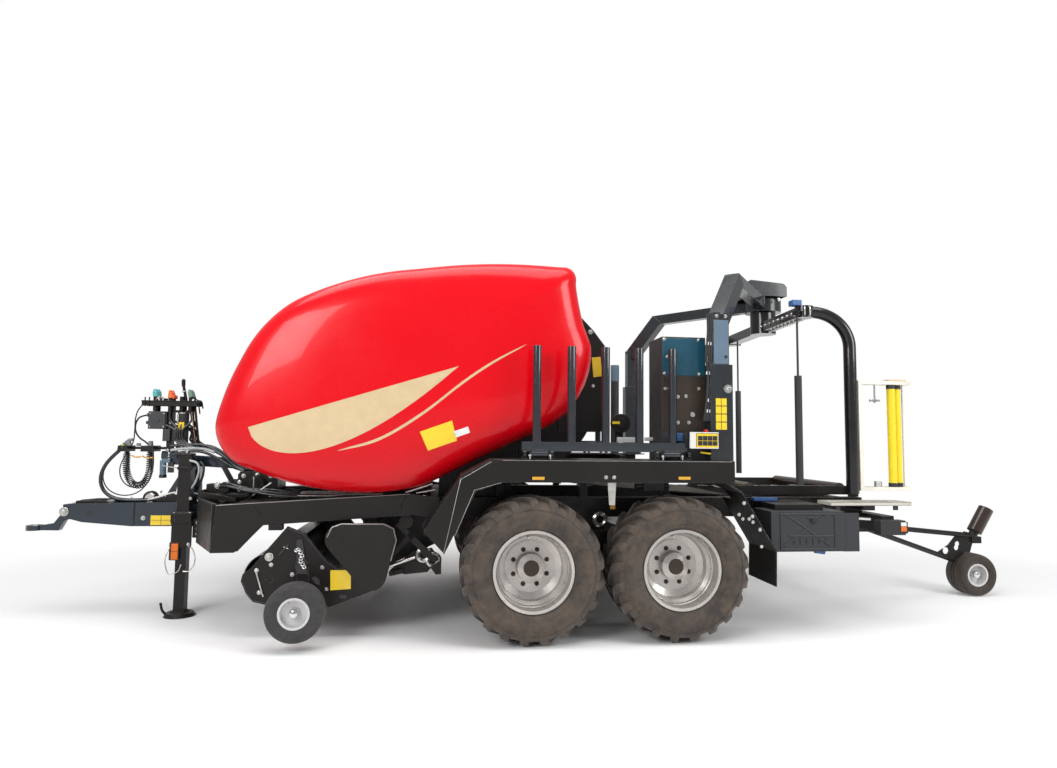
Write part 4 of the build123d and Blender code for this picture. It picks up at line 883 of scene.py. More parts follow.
# ---------------------------------------------------------------- side covers
# x, z of each outline corner, then of a point on the arc that leads to the next corner
COVER_CORNERS = ((2.935, 1.580, 2.875, 1.385), (2.667, 1.245, 2.290, 1.123), (1.850, 1.071, 1.580, 1.085),
                 (1.322, 1.148, 0.905, 1.356), (0.474, 1.556, 0.165, 1.810), (0.049, 2.241, 0.080, 2.330),
                 (0.115, 2.418, 0.152, 2.580), (0.182, 2.760, 0.204, 2.862), (0.300, 2.887, 0.880, 2.892),
                 (1.442, 2.828, 1.930, 2.733), (2.378, 2.547, 2.600, 2.350), (2.765, 2.080, 2.870, 1.830))
COVER_MIDDLE = (1.48, 1.98)
# y of a ring of the shell, its scale about the middle
COVER_RINGS = ((0.701, 1.0), (0.74, 1.0), (0.86, 1.0), (0.945, 0.998), (0.99, 0.990), (1.025, 0.975),
               (1.055, 0.953), (1.082, 0.922), (1.104, 0.880), (1.122, 0.82), (1.136, 0.74), (1.146, 0.64),
               (1.152, 0.50), (1.156, 0.34), (1.158, 0.16))

COVER_CROWN_Y = 1.1585


def arc_points(a, b, c, count):
    """Points from a to short of c on the circle through a, b and c."""
    (ax, az), (bx, bz), (cx, cz) = a, b, c
    d = 2 * (ax * (bz - cz) + bx * (cz - az) + cx * (az - bz))
    a2, b2, c2 = ax * ax + az * az, bx * bx + bz * bz, cx * cx + cz * cz
    ux = (a2 * (bz - cz) + b2 * (cz - az) + c2 * (az - bz)) / d
    uz = (a2 * (cx - bx) + b2 * (ax - cx) + c2 * (bx - ax)) / d
    start, middle, end = (math.atan2(z - uz, x - ux) for x, z in (a, b, c))
    full = 2 * math.pi
    turn = (end - start) % full
    if (middle - start) % full > turn:
        turn -= full
    radius = math.hypot(ax - ux, az - uz)
    angles = [start + turn * k / count for k in range(count)]
    return [(ux + radius * math.cos(angle), uz + radius * math.sin(angle)) for angle in angles]


def cover_outline(per_arc=14):
    """Points round the cover's edge, with the corners between its arcs eased."""
    line = []
    for i, (x, z, mx, mz) in enumerate(COVER_CORNERS):
        after = COVER_CORNERS[(i + 1) % len(COVER_CORNERS)]
        line += arc_points((x, z), (mx, mz), after[:2], per_arc)
    for _ in range(2):
        line = [tuple((line[i - 1][k] + 2 * line[i][k] + line[(i + 1) % len(line)][k]) / 4 for k in (0, 1))
                for i in range(len(line))]
    return line


def side_cover(side_name, side):
    """One-piece moulded cover with a crowned face and an open inner side."""
    bm = bmesh.new()
    outline = cover_outline()
    middle_x, middle_z = COVER_MIDDLE
    rings = [[bm.verts.new(at(middle_x + scale * (x - middle_x), side * y,
                              middle_z + scale * (z - middle_z))) for x, z in outline]
             for y, scale in COVER_RINGS]
    skin(bm, rings)
    hub = bm.verts.new(at(middle_x, side * COVER_CROWN_Y, middle_z))
    for i in range(len(outline)):
        bm.faces.new((rings[-1][i], rings[-1][(i + 1) % len(outline)], hub))
    bmesh.ops.recalc_face_normals(bm, faces=bm.faces)
    if bm.faces[-1].normal.y * side < 0:
        bmesh.ops.reverse_faces(bm, faces=bm.faces)
    tree = BVHTree.FromBMesh(bm)
    mesh = bpy.data.meshes.new(f"moulded_cover_{side_name}")
    bm.to_mesh(mesh)
    bm.free()
    piece = new_piece(mesh.name, mesh, f"cover_{side_name}", "cover", smooth=60)
    wall = piece.modifiers.new("Wall", "SOLIDIFY")
    wall.thickness = 0.012
    wall.offset = -1.0
    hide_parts(f"side_cover_{side_name}")
    return tree


def on_cover(tree, side, x, z, lift=0.0012):
    """Point of the cover's skin at x, z, a film's thickness off it."""
    start = at(x, side * 1.6, z)
    hit, normal, _, _ = tree.ray_cast(start, Vector((0, -side, 0)), 2.0)
    if hit is None:
        return at(x, side * 1.0, z)
    if normal.y * side < 0:
        normal = -normal
    return hit + normal * lift


def film_strip(name, tree, side_name, side, upper, lower, columns, rows, material):
    """Film on the cover between two curves, each a function of a share from 0 to 1 giving (x, z)."""
    bm = bmesh.new()
    grid = []
    for i in range(columns + 1):
        t = i / columns
        (ux, uz), (lx, lz) = upper(t), lower(t)
        grid.append([bm.verts.new(on_cover(tree, side, ux + (lx - ux) * k / rows, uz + (lz - uz) * k / rows))
                     for k in range(rows + 1)])
    skin(bm, grid, around=False)
    bmesh.ops.remove_doubles(bm, verts=bm.verts, dist=1e-5)
    new_piece(f"{name}_{side_name}", bm, f"cover_{side_name}", material, smooth=60)


def straight(x, z, run, rise):
    """Straight edge from x, z to that point moved by run and rise."""
    return lambda t: (x + run * t, z + rise * t)


leaf_upper = straight(2.648, 1.560, -1.525, 0.482)


def leaf_lower(t):
    """The upper edge dropped by a bulge that is fullest a third of the way along."""
    x, z = leaf_upper(t)
    drop = 0.325 * (t / 0.38) ** 0.62 * ((1 - t) / 0.62) ** 1.02 if 0 < t < 1 else 0.0
    return x, z - drop


STRIPE = ((2.008, 1.393), (1.70, 1.486), (1.39, 1.678), (1.093, 1.917), (0.866, 2.077), (0.601, 2.228))


def stripe_edge(half):
    """Edge of the thin stripe; half is its half width in metres."""
    line = smooth_line([(x, 0, z) for x, z in STRIPE], 12)

    def edge(t):
        i = min(int(t * (len(line) - 1)), len(line) - 2)
        u = t * (len(line) - 1) - i
        point = line[i].lerp(line[i + 1], u)
        taper = math.sin(math.pi * min(1.0, max(0.0, t))) ** 0.6
        return point.x - half * 0.55 * taper, point.z + half * taper
    return edge


# name, upper and lower edge, columns along, rows across, material
COVER_FILMS = (
    ("leaf_film", leaf_upper, leaf_lower, 60, 14, "beige"),
    ("thin_stripe", stripe_edge(0.021), stripe_edge(-0.021), 60, 3, "beige"),
    ("blank_plate", straight(1.405, 1.542, -0.238, 0.087), straight(1.342, 1.401, -0.216, 0.077),
     6, 4, "yellow"),
    ("small_plate", straight(1.158, 1.546, -0.113, 0.040), straight(1.134, 1.501, -0.105, 0.039),
     4, 3, "white"),
)
for side_name, side in (("left", 1), ("right", -1)):
    tree = side_cover(side_name, side)
    for name, *film in COVER_FILMS:
        film_strip(name, tree, side_name, side, *film)


# ---------------------------------------------------------------- hitch head and drawbar
with Build("hitch_head_bolts", "zinc") as b:
    for side in (1, -1):
        b.bolt((4.359, side * 0.120, 0.845), (0, side, 0), 0.026)
        b.bolt((3.734, side * 0.120, 0.790), (0, side, 0), 0.013)
    b.bolt((4.340, -0.118, 0.760), (0, -1, 0), 0.018)
EYE_X = 4.640
EYE_REACH = 0.038           # radius of the ring's middle line
with Build("eye_wear_ring", "steel", smooth=50) as b:
    for z in (0.7207, 0.6793):
        b.tube([(EYE_X + EYE_REACH * math.cos(k * math.pi / 18), EYE_REACH * math.sin(k * math.pi / 18), z)
                for k in range(37)], 0.0028, 0, 8)
with Build("drawbar_top_plates", "chassis", bevel=0.002) as b:
    for y in ((-0.085, -0.045), (0.045, 0.085)):
        b.box((4.06, 4.29), y, (0.905, 0.932))
    for y in ((0.088, 0.100), (-0.100, -0.088)):
        b.plate(((3.215, 0.930), (3.500, 0.990), (3.640, 0.945), (3.640, 0.925)), y)
    b.box((3.80, 3.815), (-0.121, 0.121), (0.735, 0.922))
# black discs where the drawbar has holes: painted shade for the dark inside of the holes
with Build("painted_drawbar_hole_shade", "rubber") as b:
    for x, z, radius in ((4.167, 0.830, 0.021), (3.420, 0.700, 0.014)):
        for side in (1, -1):
            b.disc(x, z, (side * 0.1195, side * 0.1206), radius)
with Build("drawbar_blank_plates", "yellow", "tray_paint", bevel=0.0005) as b:
    for side in (1, -1):
        b.plate(((3.674, 0.812), (3.509, 0.812), (3.509, 0.731), (3.674, 0.731)),
                (side * 0.1195, side * 0.1212))
with Build("drawbar_plate_borders", "black_plastic", "tray_paint") as b:
    for side in (1, -1):
        b.box((3.588, 3.592), (side * 0.1208, side * 0.1216), (0.733, 0.810))
        b.box((3.511, 3.672), (side * 0.1208, side * 0.1216), (0.770, 0.773))
SWIVEL = (3.712, 0.045, 0.952)
with Build("hose_swivel", "zinc", smooth=30) as b:
    b.ring(((0, 0.046), (0.012, 0.046), (0.020, 0.036), (0.020, 0.0005), (0, 0.0005)), SWIVEL)
    b.rod((4.085, 0.020, 0.912), (4.000, 0.030, 0.930), 0.016)
    b.rod((4.085, -0.030, 0.912), (4.000, -0.030, 0.926), 0.014)
with Build("hose_swivel_ring", "matt_black", smooth=30) as b:
    b.ring(((-0.03, 0.060), (0.010, 0.060), (0.014, 0.052), (0.010, 0.044), (-0.03, 0.044)), SWIVEL)
with Build("drawbar_hoses", "cord_rubber", smooth=60) as b:
    for y, rise, front in ((-0.075, 0.000, 4.36), (-0.045, 0.006, 4.30), (-0.015, 0.010, 4.26)):
        b.tube(((front, y, 0.872), (front - 0.05, y, 0.918 + rise), (4.05, y, 0.926 + rise),
                (3.85, y, 0.924 + rise), (3.66, y * 1.1, 0.935 + rise), (3.45, y * 1.2, 0.958 + rise),
                (3.24, y * 1.3, 0.946 + rise), (3.08, y * 1.4, 0.930)), 0.011)
    b.tube(((3.600, 0.060, 0.942), (3.56, 0.062, 0.944), (3.48, 0.078, 0.962), (3.36, 0.100, 0.968),
            (3.24, 0.110, 0.950), (3.10, 0.11, 0.940)), 0.013)
with Build("light_drawbar_hose", "white_plastic", "cable_rubber", smooth=60) as b:
    b.tube(((3.722, 0.074, 0.940), (3.62, 0.108, 0.968), (3.52, 0.110, 1.000), (3.42, 0.108, 1.010),
            (3.27, 0.115, 0.985), (3.14, 0.12, 0.955), (3.05, 0.12, 0.940)), 0.0075)
with Build("drawbar_stay_pins", "steel") as b:
    b.disc(3.595, 0.935, (-0.050, 0.050), 0.016)
    b.disc(3.418, 1.243, (-0.055, 0.055), 0.018)
    b.bolt((3.640, 0.0, 1.0), (1, 0, 0.4), 0.010)

# ---------------------------------------------------------------- parking jack
JACK_X, JACK_Y = 3.370, 0.215
JACK_SIDES = ((3.320, 3.420), (0.165, 0.265))   # x and y of the jack's outer tube


def collar(build, reach, z):
    """Band round the jack's outer tube that leaves its inside free."""
    (front, back), (inner, outer) = JACK_SIDES
    build.box((front - reach, front), (inner - reach, outer + reach), z)
    build.box((back, back + reach), (inner - reach, outer + reach), z)
    build.box((front, back), (inner - reach, inner), z)
    build.box((front, back), (outer, outer + reach), z)


with Build("jack_holder", "chassis", bevel=0.004) as b:
    collar(b, 0.032, (0.770, 0.850))
    b.box((3.290, 3.450), (0.2655, 0.274), (0.570, 0.860))
    collar(b, 0.008, (1.205, 1.232))
    b.box((3.318, 3.422), (0.160, 0.272), (1.325, 1.338))
    b.box((3.195, 3.292), (0.120, 0.245), (0.640, 0.790))
with Build("jack_bolts", "zinc") as b:
    for x, z in ((3.312, 0.968), (3.310, 0.842), (3.432, 0.842), (3.430, 0.590), (3.310, 0.590)):
        b.bolt((x, 0.266 if z > 0.9 else 0.273, z), (0, 1, 0), 0.009)
    for x, z in ((3.250, 0.766), (3.245, 0.712)):
        b.bolt((x, 0.245, z), (0, 1, 0), 0.012)
block("jack_lamp", "orange", (3.383, 3.437), (0.274, 0.292), (0.470, 0.600), bevel=0.003)
with Build("jack_lamp_frame", "black_plastic", bevel=0.002) as b:
    b.box((3.378, 3.442), (0.264, 0.280), (0.462, 0.608))
    b.box((3.381, 3.439), (0.264, 0.293), (0.533, 0.538))
    b.box((3.425, 3.460), (0.262, 0.270), (0.462, 0.608))
with Build("jack_pin_loops", "zinc", smooth=60) as b:
    b.tube(((3.310, 0.275, 0.575), (3.268, 0.300, 0.560), (3.232, 0.335, 0.492), (3.236, 0.348, 0.428),
            (3.272, 0.348, 0.388), (3.316, 0.348, 0.384)), 0.0045, 8)
    b.tube(((3.450, 0.282, 0.570), (3.468, 0.325, 0.480), (3.438, 0.348, 0.378), (3.398, 0.348, 0.366),
            (3.352, 0.348, 0.390), (3.335, 0.345, 0.440)), 0.0045, 8)
with Build("jack_leg_face", "matt_black", body="jack", smooth=30) as b:
    b.post(JACK_X, JACK_Y, (0.028, 0.045), 0.080, 0.060)
    b.tube(((3.470, 0.255, 0.024), (3.492, 0.268, 0.060), (3.505, 0.272, 0.118)), 0.010)
    for z in (0.16, 0.24, 0.32, 0.40, 0.48):
        b.disc(3.370, z, (0.2560, 0.2578), 0.011)
with Build("jack_crank", "zinc") as b:
    b.post(JACK_X, JACK_Y, (1.340, 1.366), 0.018)
    b.disc(3.370, 1.300, (0.160, 0.100), 0.011)

# ---------------------------------------------------------------- hose mast and its couplings
SOCKET_X = (3.716, 3.592, 3.498, 3.425)
COUPLING_Y = (0.030, -0.030)
with Build("mast_plate_sockets", "matt_black", bevel=0.0015) as b:
    for y in ((0.052, 0.060), (-0.060, -0.052)):
        b.box((3.362, 3.820), y, (1.745, 1.792))
    for x in SOCKET_X:
        for y in COUPLING_Y:
            b.post(x, y, (1.700, 1.830), 0.020)
    for x in (3.790, 3.756):
        b.tube(((x, 0.058, 1.740), (x, 0.064, 1.775), (x + 0.003, 0.058, 1.820)), 0.0055, 5)
    b.box((3.640, 3.685), (-0.04, 0.04), (1.79, 1.812))
# name, material, slot, then rods: x and z of both ends and the radius at each
COUPLINGS = (
    ("teal", "coupling_teal", None, (
        (3.716, 1.826, 3.722, 1.872, 0.024, 0.024), (3.722, 1.868, 3.724, 1.892, 0.019, 0.015))),
    ("pale", "zinc", None, (
        (3.708, 1.800, 3.716, 1.832, 0.018, 0.018), (3.685, 1.790, 3.690, 1.826, 0.015, 0.015),
        (3.655, 1.790, 3.655, 1.815, 0.012, 0.012), (3.425, 1.800, 3.428, 1.826, 0.017, 0.017))),
    ("orange", "orange_plastic", None, (
        (3.592, 1.815, 3.603, 1.885, 0.026, 0.010), (3.570, 1.810, 3.576, 1.840, 0.014, 0.014))),
    ("green", "coupling_green", None, (
        (3.425, 1.822, 3.440, 1.880, 0.020, 0.017), (3.440, 1.876, 3.443, 1.892, 0.010, 0.010))),
)
for name, material, slot, rods in COUPLINGS:
    with Build(f"mast_couplings_{name}", material, slot, smooth=30) as b:
        for y in COUPLING_Y:
            for x0, z0, x1, z1, radius, end_radius in rods:
                b.rod((x0, y, z0), (x1, y, z1), radius, end_radius)
with Build("mast_levers", "matt_black", smooth=40) as b:
    b.tube(((3.468, 0.02, 1.790), (3.482, 0.02, 1.860), (3.497, 0.02, 1.930), (3.499, 0.02, 1.985)),
           (0.013,) * 6 + (0.012,) * 6 + (0.016,) * 6 + (0.007,))
    b.tube(((3.405, 0.03, 1.810), (3.372, 0.045, 1.802), (3.352, 0.048, 1.745), (3.340, 0.048, 1.680)),
           0.006)
    b.tube(((3.392, -0.03, 1.800), (3.360, -0.040, 1.790), (3.345, -0.040, 1.730)), 0.006)
    b.rod((3.400, 0.0, 1.750), (3.350, 0.0, 1.385), 0.010)
    b.rod((3.430, -0.02, 1.750), (3.385, -0.02, 1.385), 0.008)
with Build("mast_lever_ring", "zinc") as b:
    b.rod((3.489, 0.02, 1.868), (3.491, 0.02, 1.880), 0.017)
    b.disc(3.402, 1.800, (0.030, 0.052), 0.010)
with Build("mast_rod_brown", "copper", smooth=40) as b:
    b.rod((3.415, 0.03, 1.700), (3.365, 0.03, 1.395), 0.006)
with Build("mast_hoses", "cord_rubber", smooth=60) as b:
    for i, (side, x) in enumerate((side, x) for side in (1, -1) for x in SOCKET_X):
        y = side * (0.040 if x == SOCKET_X[1] else 0.030)
        b.tube(((x, y, 1.705), (x - 0.01, y, 1.62), (3.54 - 0.022 * i, side * 0.048, 1.54),
                (3.53 - 0.022 * i, side * 0.050, 1.45), (3.44 - 0.02 * i, side * 0.055, 1.395),
                (3.25, side * 0.060, 1.375), (3.12, side * 0.062, 1.310), (3.02, side * 0.07, 1.225),
                (2.92, side * 0.09, 1.175)), 0.0095)
with Build("junction_box_lid", "grey_plastic", bevel=0.003) as b:
    b.box((3.622, 3.762), (0.045, 0.054), (1.550, 1.692))
    b.disc(3.690, 1.622, (0.053, 0.060), 0.020)
    b.rod((3.764, -0.010, 1.668), (3.792, -0.010, 1.667), 0.018)
    b.rod((3.764, 0.020, 1.600), (3.788, 0.020, 1.600), 0.014)
    b.box((3.580, 3.640), (0.020, 0.050), (1.44, 1.545))
with Build("junction_box_screws", "zinc") as b:
    for x in (3.636, 3.748):
        for z in (1.564, 1.678):
            b.disc(x, z, (0.053, 0.0555), 0.005)
with Build("mast_bolts", "zinc") as b:
    b.bolts(0.052, 0.009, ((3.590, 1.362), (3.576, 1.332), (3.576, 1.310), (3.575, 1.288)))
    b.bolts(0.025, 0.006, ((3.590, 1.60), (3.590, 1.50)))
ACCUMULATOR_X = 3.490
with Build("accumulator_ends", "zinc", smooth=30) as b:
    for low, high, radius in ((1.395, 1.407, 0.0462), (1.680, 1.692, 0.0462), (1.372, 1.398, 0.018)):
        b.post(ACCUMULATOR_X, 0.0, (low, high), radius)
    b.post(3.522, 0.036, (1.600, 1.672), 0.011)
with Build("accumulator_blank_label", "yellow", "tray_paint", smooth=60) as b:
    b.tube([(ACCUMULATOR_X + 0.0455 * math.cos(a), 0.0455 * math.sin(a), 1.575)
            for a in (0.9, 1.2, 1.5, 1.8, 2.1, 2.3)], 0.0012, 0, 6)
    rows = [(ACCUMULATOR_X + 0.0458 * math.cos(a), 0.0458 * math.sin(a))
            for a in (0.85, 1.15, 1.45, 1.75, 2.05)]
    for (x0, y0), (x1, y1) in zip(rows, rows[1:]):
        b.bm.faces.new([b.bm.verts.new(at(*p)) for p in
                        ((x0, y0, 1.540), (x1, y1, 1.540), (x1, y1, 1.606), (x0, y0, 1.606))])
with Build("connector_plugs", "grey_connector", smooth=30) as b:
    b.rod((3.905, 0.050, 1.400), (3.918, 0.060, 1.446), 0.024, 0.020)
    b.rod((3.915, 0.058, 1.444), (3.875, 0.062, 1.452), 0.013)
    b.rod((3.940, 0.030, 1.400), (3.950, 0.035, 1.428), 0.020)
    b.post(3.750, 0.004, (1.398, 1.440), 0.022, 0.018)
    b.post(3.850, -0.003, (1.395, 1.420), 0.018)
with Build("connector_lime", "lime_plastic", smooth=30) as b:
    b.rod((3.962, 0.070, 1.395), (3.968, 0.075, 1.352), 0.024)
    b.rod((3.958, 0.070, 1.392), (3.940, 0.070, 1.402), 0.016)
with Build("cable_ties", "amber_plastic", "cable_rubber", smooth=40) as b:
    for x0, x1, z in ((3.700, 3.790, 1.306), (3.800, 3.872, 1.312)):
        b.tube(((x0, 0.070, z - 0.006), ((x0 + x1) / 2, 0.078, z - 0.010), (x1, 0.070, z + 0.004)), 0.0065)
    for x, z in ((3.862, 0.958), (3.704, 1.180)):
        b.tube([(x + 0.006 * math.cos(a), 0.054 + 0.008 * math.sin(a), z + 0.004 * math.sin(a))
                for a in [k * math.pi / 4 for k in range(9)]], 0.0022, 0, 6)
with Build("mast_arm_sleeve", "light_hose", smooth=60) as b:
    b.tube(((3.560, 0.062, 1.362), (3.500, 0.066, 1.372), (3.380, 0.068, 1.380), (3.275, 0.068, 1.372),
            (3.200, 0.068, 1.348)), 0.012)
    b.tube(((3.330, 0.272, 1.285), (3.268, 0.280, 1.262), (3.250, 0.280, 1.200), (3.275, 0.270, 1.110),
            (3.318, 0.240, 1.050)), 0.009)
with Build("mast_arm_hoses", "cord_rubber", smooth=60) as b:
    b.tube(((3.540, 0.056, 1.330), (3.420, 0.060, 1.352), (3.300, 0.060, 1.350), (3.180, 0.060, 1.300),
            (3.060, 0.062, 1.230), (2.950, 0.06, 1.190)), 0.013)
    b.tube(((3.570, 0.050, 1.400), (3.440, 0.055, 1.412), (3.290, 0.055, 1.408), (3.160, 0.055, 1.340),
            (3.040, 0.055, 1.240), (2.940, 0.05, 1.190)), 0.012)
    b.tube(((3.560, -0.055, 1.390), (3.400, -0.055, 1.404), (3.250, -0.055, 1.390), (3.120, -0.055, 1.310),
            (3.000, -0.055, 1.215)), 0.014)
    b.tube(((3.300, 0.100, 1.265), (3.262, 0.130, 1.225), (3.262, 0.140, 1.150), (3.300, 0.120, 1.060)),
           0.010)
with Build("mast_valve", "mast_blue", smooth=30, bevel=0.002) as b:
    b.rod((3.622, 0.052, 1.275), (3.619, 0.052, 1.150), 0.026)
    b.box((3.560, 3.630), (0.030, 0.072), (1.255, 1.290))
with Build("mast_valve_knob", "black_plastic", smooth=30) as b:
    b.rod((3.619, 0.052, 1.152), (3.618, 0.052, 1.125), 0.030)
    b.box((3.535, 3.580), (0.035, 0.060), (1.170, 1.262))
with Build("mast_valve_lever", "zinc") as b:
    b.slab((3.610, 0.085, 1.232), (3.440, 0.115, 1.205), 0.022, 0.008)
    b.disc(3.450, 1.200, (0.09, 0.13), 0.013)

# ---------------------------------------------------------------- gearbox and hoses behind the front plate
with Build("gearbox_bolts", "zinc") as b:
    for x, z in ((2.925, 1.150), (2.700, 1.150), (2.925, 0.990), (2.700, 0.990), (2.812, 1.160)):
        for y, way in ((0.150, 1), (-0.175, -1)):
            b.bolt((x, y, z), (0, way, 0), 0.013)
    for angle in round_angles(6):
        b.bolt((2.990, -0.110 + 0.042 * math.cos(angle), 1.090 + 0.042 * math.sin(angle)),
               (1, 0, 0), 0.005, False)
with Build("gearbox_cover", "matt_black", smooth=30, bevel=0.002) as b:
    b.ring(((0, 0.085), (0.020, 0.085), (0.034, 0.065), (0.034, 0.0005), (0, 0.0005)), (2.812, 0.150, 1.072))
    for x in (2.70, 2.76, 2.82, 2.88, 2.93):
        b.box((x - 0.006, x + 0.006), (-0.150, 0.125), (1.183, 1.200))
    b.box((2.960, 2.975), (-0.165, 0.140), (0.975, 1.170))
with Build("drive_shaft_guard", "black_plastic", smooth=30) as b:
    b.rod((2.985, -0.110, 1.090), (2.990, -0.110, 1.090), 0.080)
with Build("valve_block", "chassis", bevel=0.002) as b:
    b.box((3.030, 3.180), (0.180, 0.300), (0.990, 1.090))
    b.box((2.840, 3.100), (0.200, 0.330), (0.985, 1.010))
    b.disc(3.035, 1.060, (0.240, 0.318), 0.045)
    b.slab((3.110, 0.10, 1.235), (2.990, 0.20, 1.080), 0.05, 0.012)
with Build("valve_block_fittings", "zinc") as b:
    for x, y, z, size in ((3.085, 0.302, 1.080, 0.020), (3.045, 0.316, 0.972, 0.022),
                          (3.010, 0.300, 1.105, 0.010), (2.916, 0.300, 1.108, 0.011),
                          (2.913, 0.305, 1.048, 0.013)):
        b.bolt((x, y, z), (0, 1, 0), size)
    b.post(2.816, 0.24, (1.150, 1.010), 0.007)
    b.rod((2.670, 0.24, 1.100), (2.905, 0.24, 0.930), 0.007)
with Build("front_hose_bundle", "cord_rubber", smooth=60) as b:
    for i in range(7):
        y = 0.33 - 0.085 * i
        b.tube(((3.16, y * 0.8, 1.050 + 0.01 * (i % 3)), (3.02, y, 1.075 + 0.012 * (i % 2)),
                (2.84, y * 1.1, 1.040), (2.62, y * 1.25, 1.010 + 0.012 * (i % 3)), (2.40, y * 1.3, 1.000),
                (2.10, y * 1.35, 1.012 + 0.010 * (i % 2)), (1.80, y * 1.4, 1.030),
                (1.45, y * 1.45, 1.060)), 0.012)
with Build("front_pipes", "zinc", smooth=60) as b:
    for i, y in enumerate((0.560, 0.590, 0.720)):
        b.tube(((2.36, y, 1.046 - 0.008 * i), (2.26, y, 1.050 - 0.01 * i), (2.10, y, 1.052 - 0.01 * i),
                (1.98, y, 1.062 - 0.01 * i), (1.70, y, 1.066 - 0.01 * i)), 0.0075)

# ---------------------------------------------------------------- chassis sides
# painted highlight along the tops of the chassis beams
with Build("chassis_top_edges", "edge_highlight", "chassis_paint", smooth=60, both=True) as b:
    b.line(((2.900, 0.9765), (1.474, 1.0625)), 0.9475, 0.0032)
    b.tube([(3.199, 0.430, 1.0435), (3.199, 0.05, 1.0435)], 0.003, 0, 8)
with Build("chassis_welds", "chassis", smooth=60, both=True) as b:
    for weld in (((2.660, 0.985), (2.580, 0.905)), ((1.500, 1.055), (1.540, 1.006)),
                 ((1.540, 1.006), (1.539, 0.950)), ((2.567, 0.829), (2.740, 0.640))):
        b.line(weld, 0.950, 0.007)
with Build("chassis_nose_plate", "chassis", bevel=0.003, both=True) as b:
    b.plate(((3.185, 1.040), (2.905, 0.985), (2.905, 0.955), (3.185, 0.985)), (0.418, 0.432))
    b.box((3.196, 3.214), (0.125, 0.180), (0.650, 1.000))
    b.box((2.420, 2.520), (0.870, 0.945), (0.790, 0.832))
with Build("chassis_nose_bolts", "zinc", both=True) as b:
    for y in (0.200, 0.300, 0.390):
        for z in (0.690, 0.960):
            b.bolt((3.200, y, z), (1, 0, 0), 0.011)

# ---------------------------------------------------------------- pick-up and fender details
PICKUP_FACE_Y = 0.972
PICKUP_FILM_Y = (0.9725, 0.9745)
PICKUP_PLATE_Y = 0.974      # face of the thin plates and of the folded edges on it
with Build("pickup_fittings", "dark_grey", body="pickup", bevel=0.002) as b:
    b.plate([(2.303, 0.721), (2.263, 0.731), (2.213, 0.472), (2.295, 0.473)], (PICKUP_FACE_Y, 0.986))
    b.plate([(2.187, 0.441), (2.165, 0.452), (2.130, 0.430), (2.119, 0.388), (2.150, 0.395)],
            (PICKUP_FACE_Y, 0.982))
    b.box((1.925, 1.979), (PICKUP_FACE_Y, 0.976), (0.285, 0.312))
    b.slab((2.431, 0.976, 0.608), (2.363, 0.976, 0.690), 0.012, 0.012, (0, 1, 0))
    b.line([(2.374, 0.812), (2.256, 0.764), (2.090, 0.565), (1.985, 0.497)], PICKUP_PLATE_Y, 0.005)
    b.line([(2.056, 0.232), (2.400, 0.242), (2.598, 0.280), (2.646, 0.337), (2.685, 0.423)],
           PICKUP_PLATE_Y, 0.005)
with Build("pickup_bolts", "zinc", body="pickup") as b:
    b.bolt((2.498, PICKUP_PLATE_Y, 0.599), size=0.022)
    b.bolts(PICKUP_PLATE_Y, 0.011, (
        (2.482, 0.542), (2.585, 0.502), (2.327, 0.468), (2.111, 0.517), (2.075, 0.356), (2.250, 0.560),
        (2.180, 0.300), (2.420, 0.310), (2.560, 0.340)))
    b.rod((2.590, 0.982, 0.506), (2.528, 0.982, 0.310), 0.006)
with Build("lift_chain", "chrome", body="pickup") as b:
    for x, z in ((2.300, 0.649), (2.285, 0.654), (2.270, 0.632), (2.258, 0.608), (2.266, 0.586),
                 (2.266, 0.566), (2.252, 0.545), (2.240, 0.525)):
        b.ring([(-0.004, 0.010), (0.0, 0.016), (0.004, 0.010), (0.0, 0.006)], (x, 0.994, z), segments=12)
with Build("pickup_marks", "yellow", body="pickup") as b:
    b.plate([(2.051, 0.496), (1.901, 0.497), (1.897, 0.356), (2.046, 0.348)], PICKUP_FILM_Y)
with Build("pickup_light_marks", "white", body="pickup") as b:
    b.plate([(2.398, 0.675), (2.368, 0.664), (2.362, 0.655), (2.392, 0.664)], PICKUP_FILM_Y)

# painted highlight round the chain cover's edge
with Build("chain_cover_rim", "edge_highlight") as b:
    b.line([(2.073, 0.750), (2.040, 0.822), (1.970, 0.848), (1.661, 0.846), (1.587, 0.810),
            (1.564, 0.726), (1.602, 0.571)], 1.044)

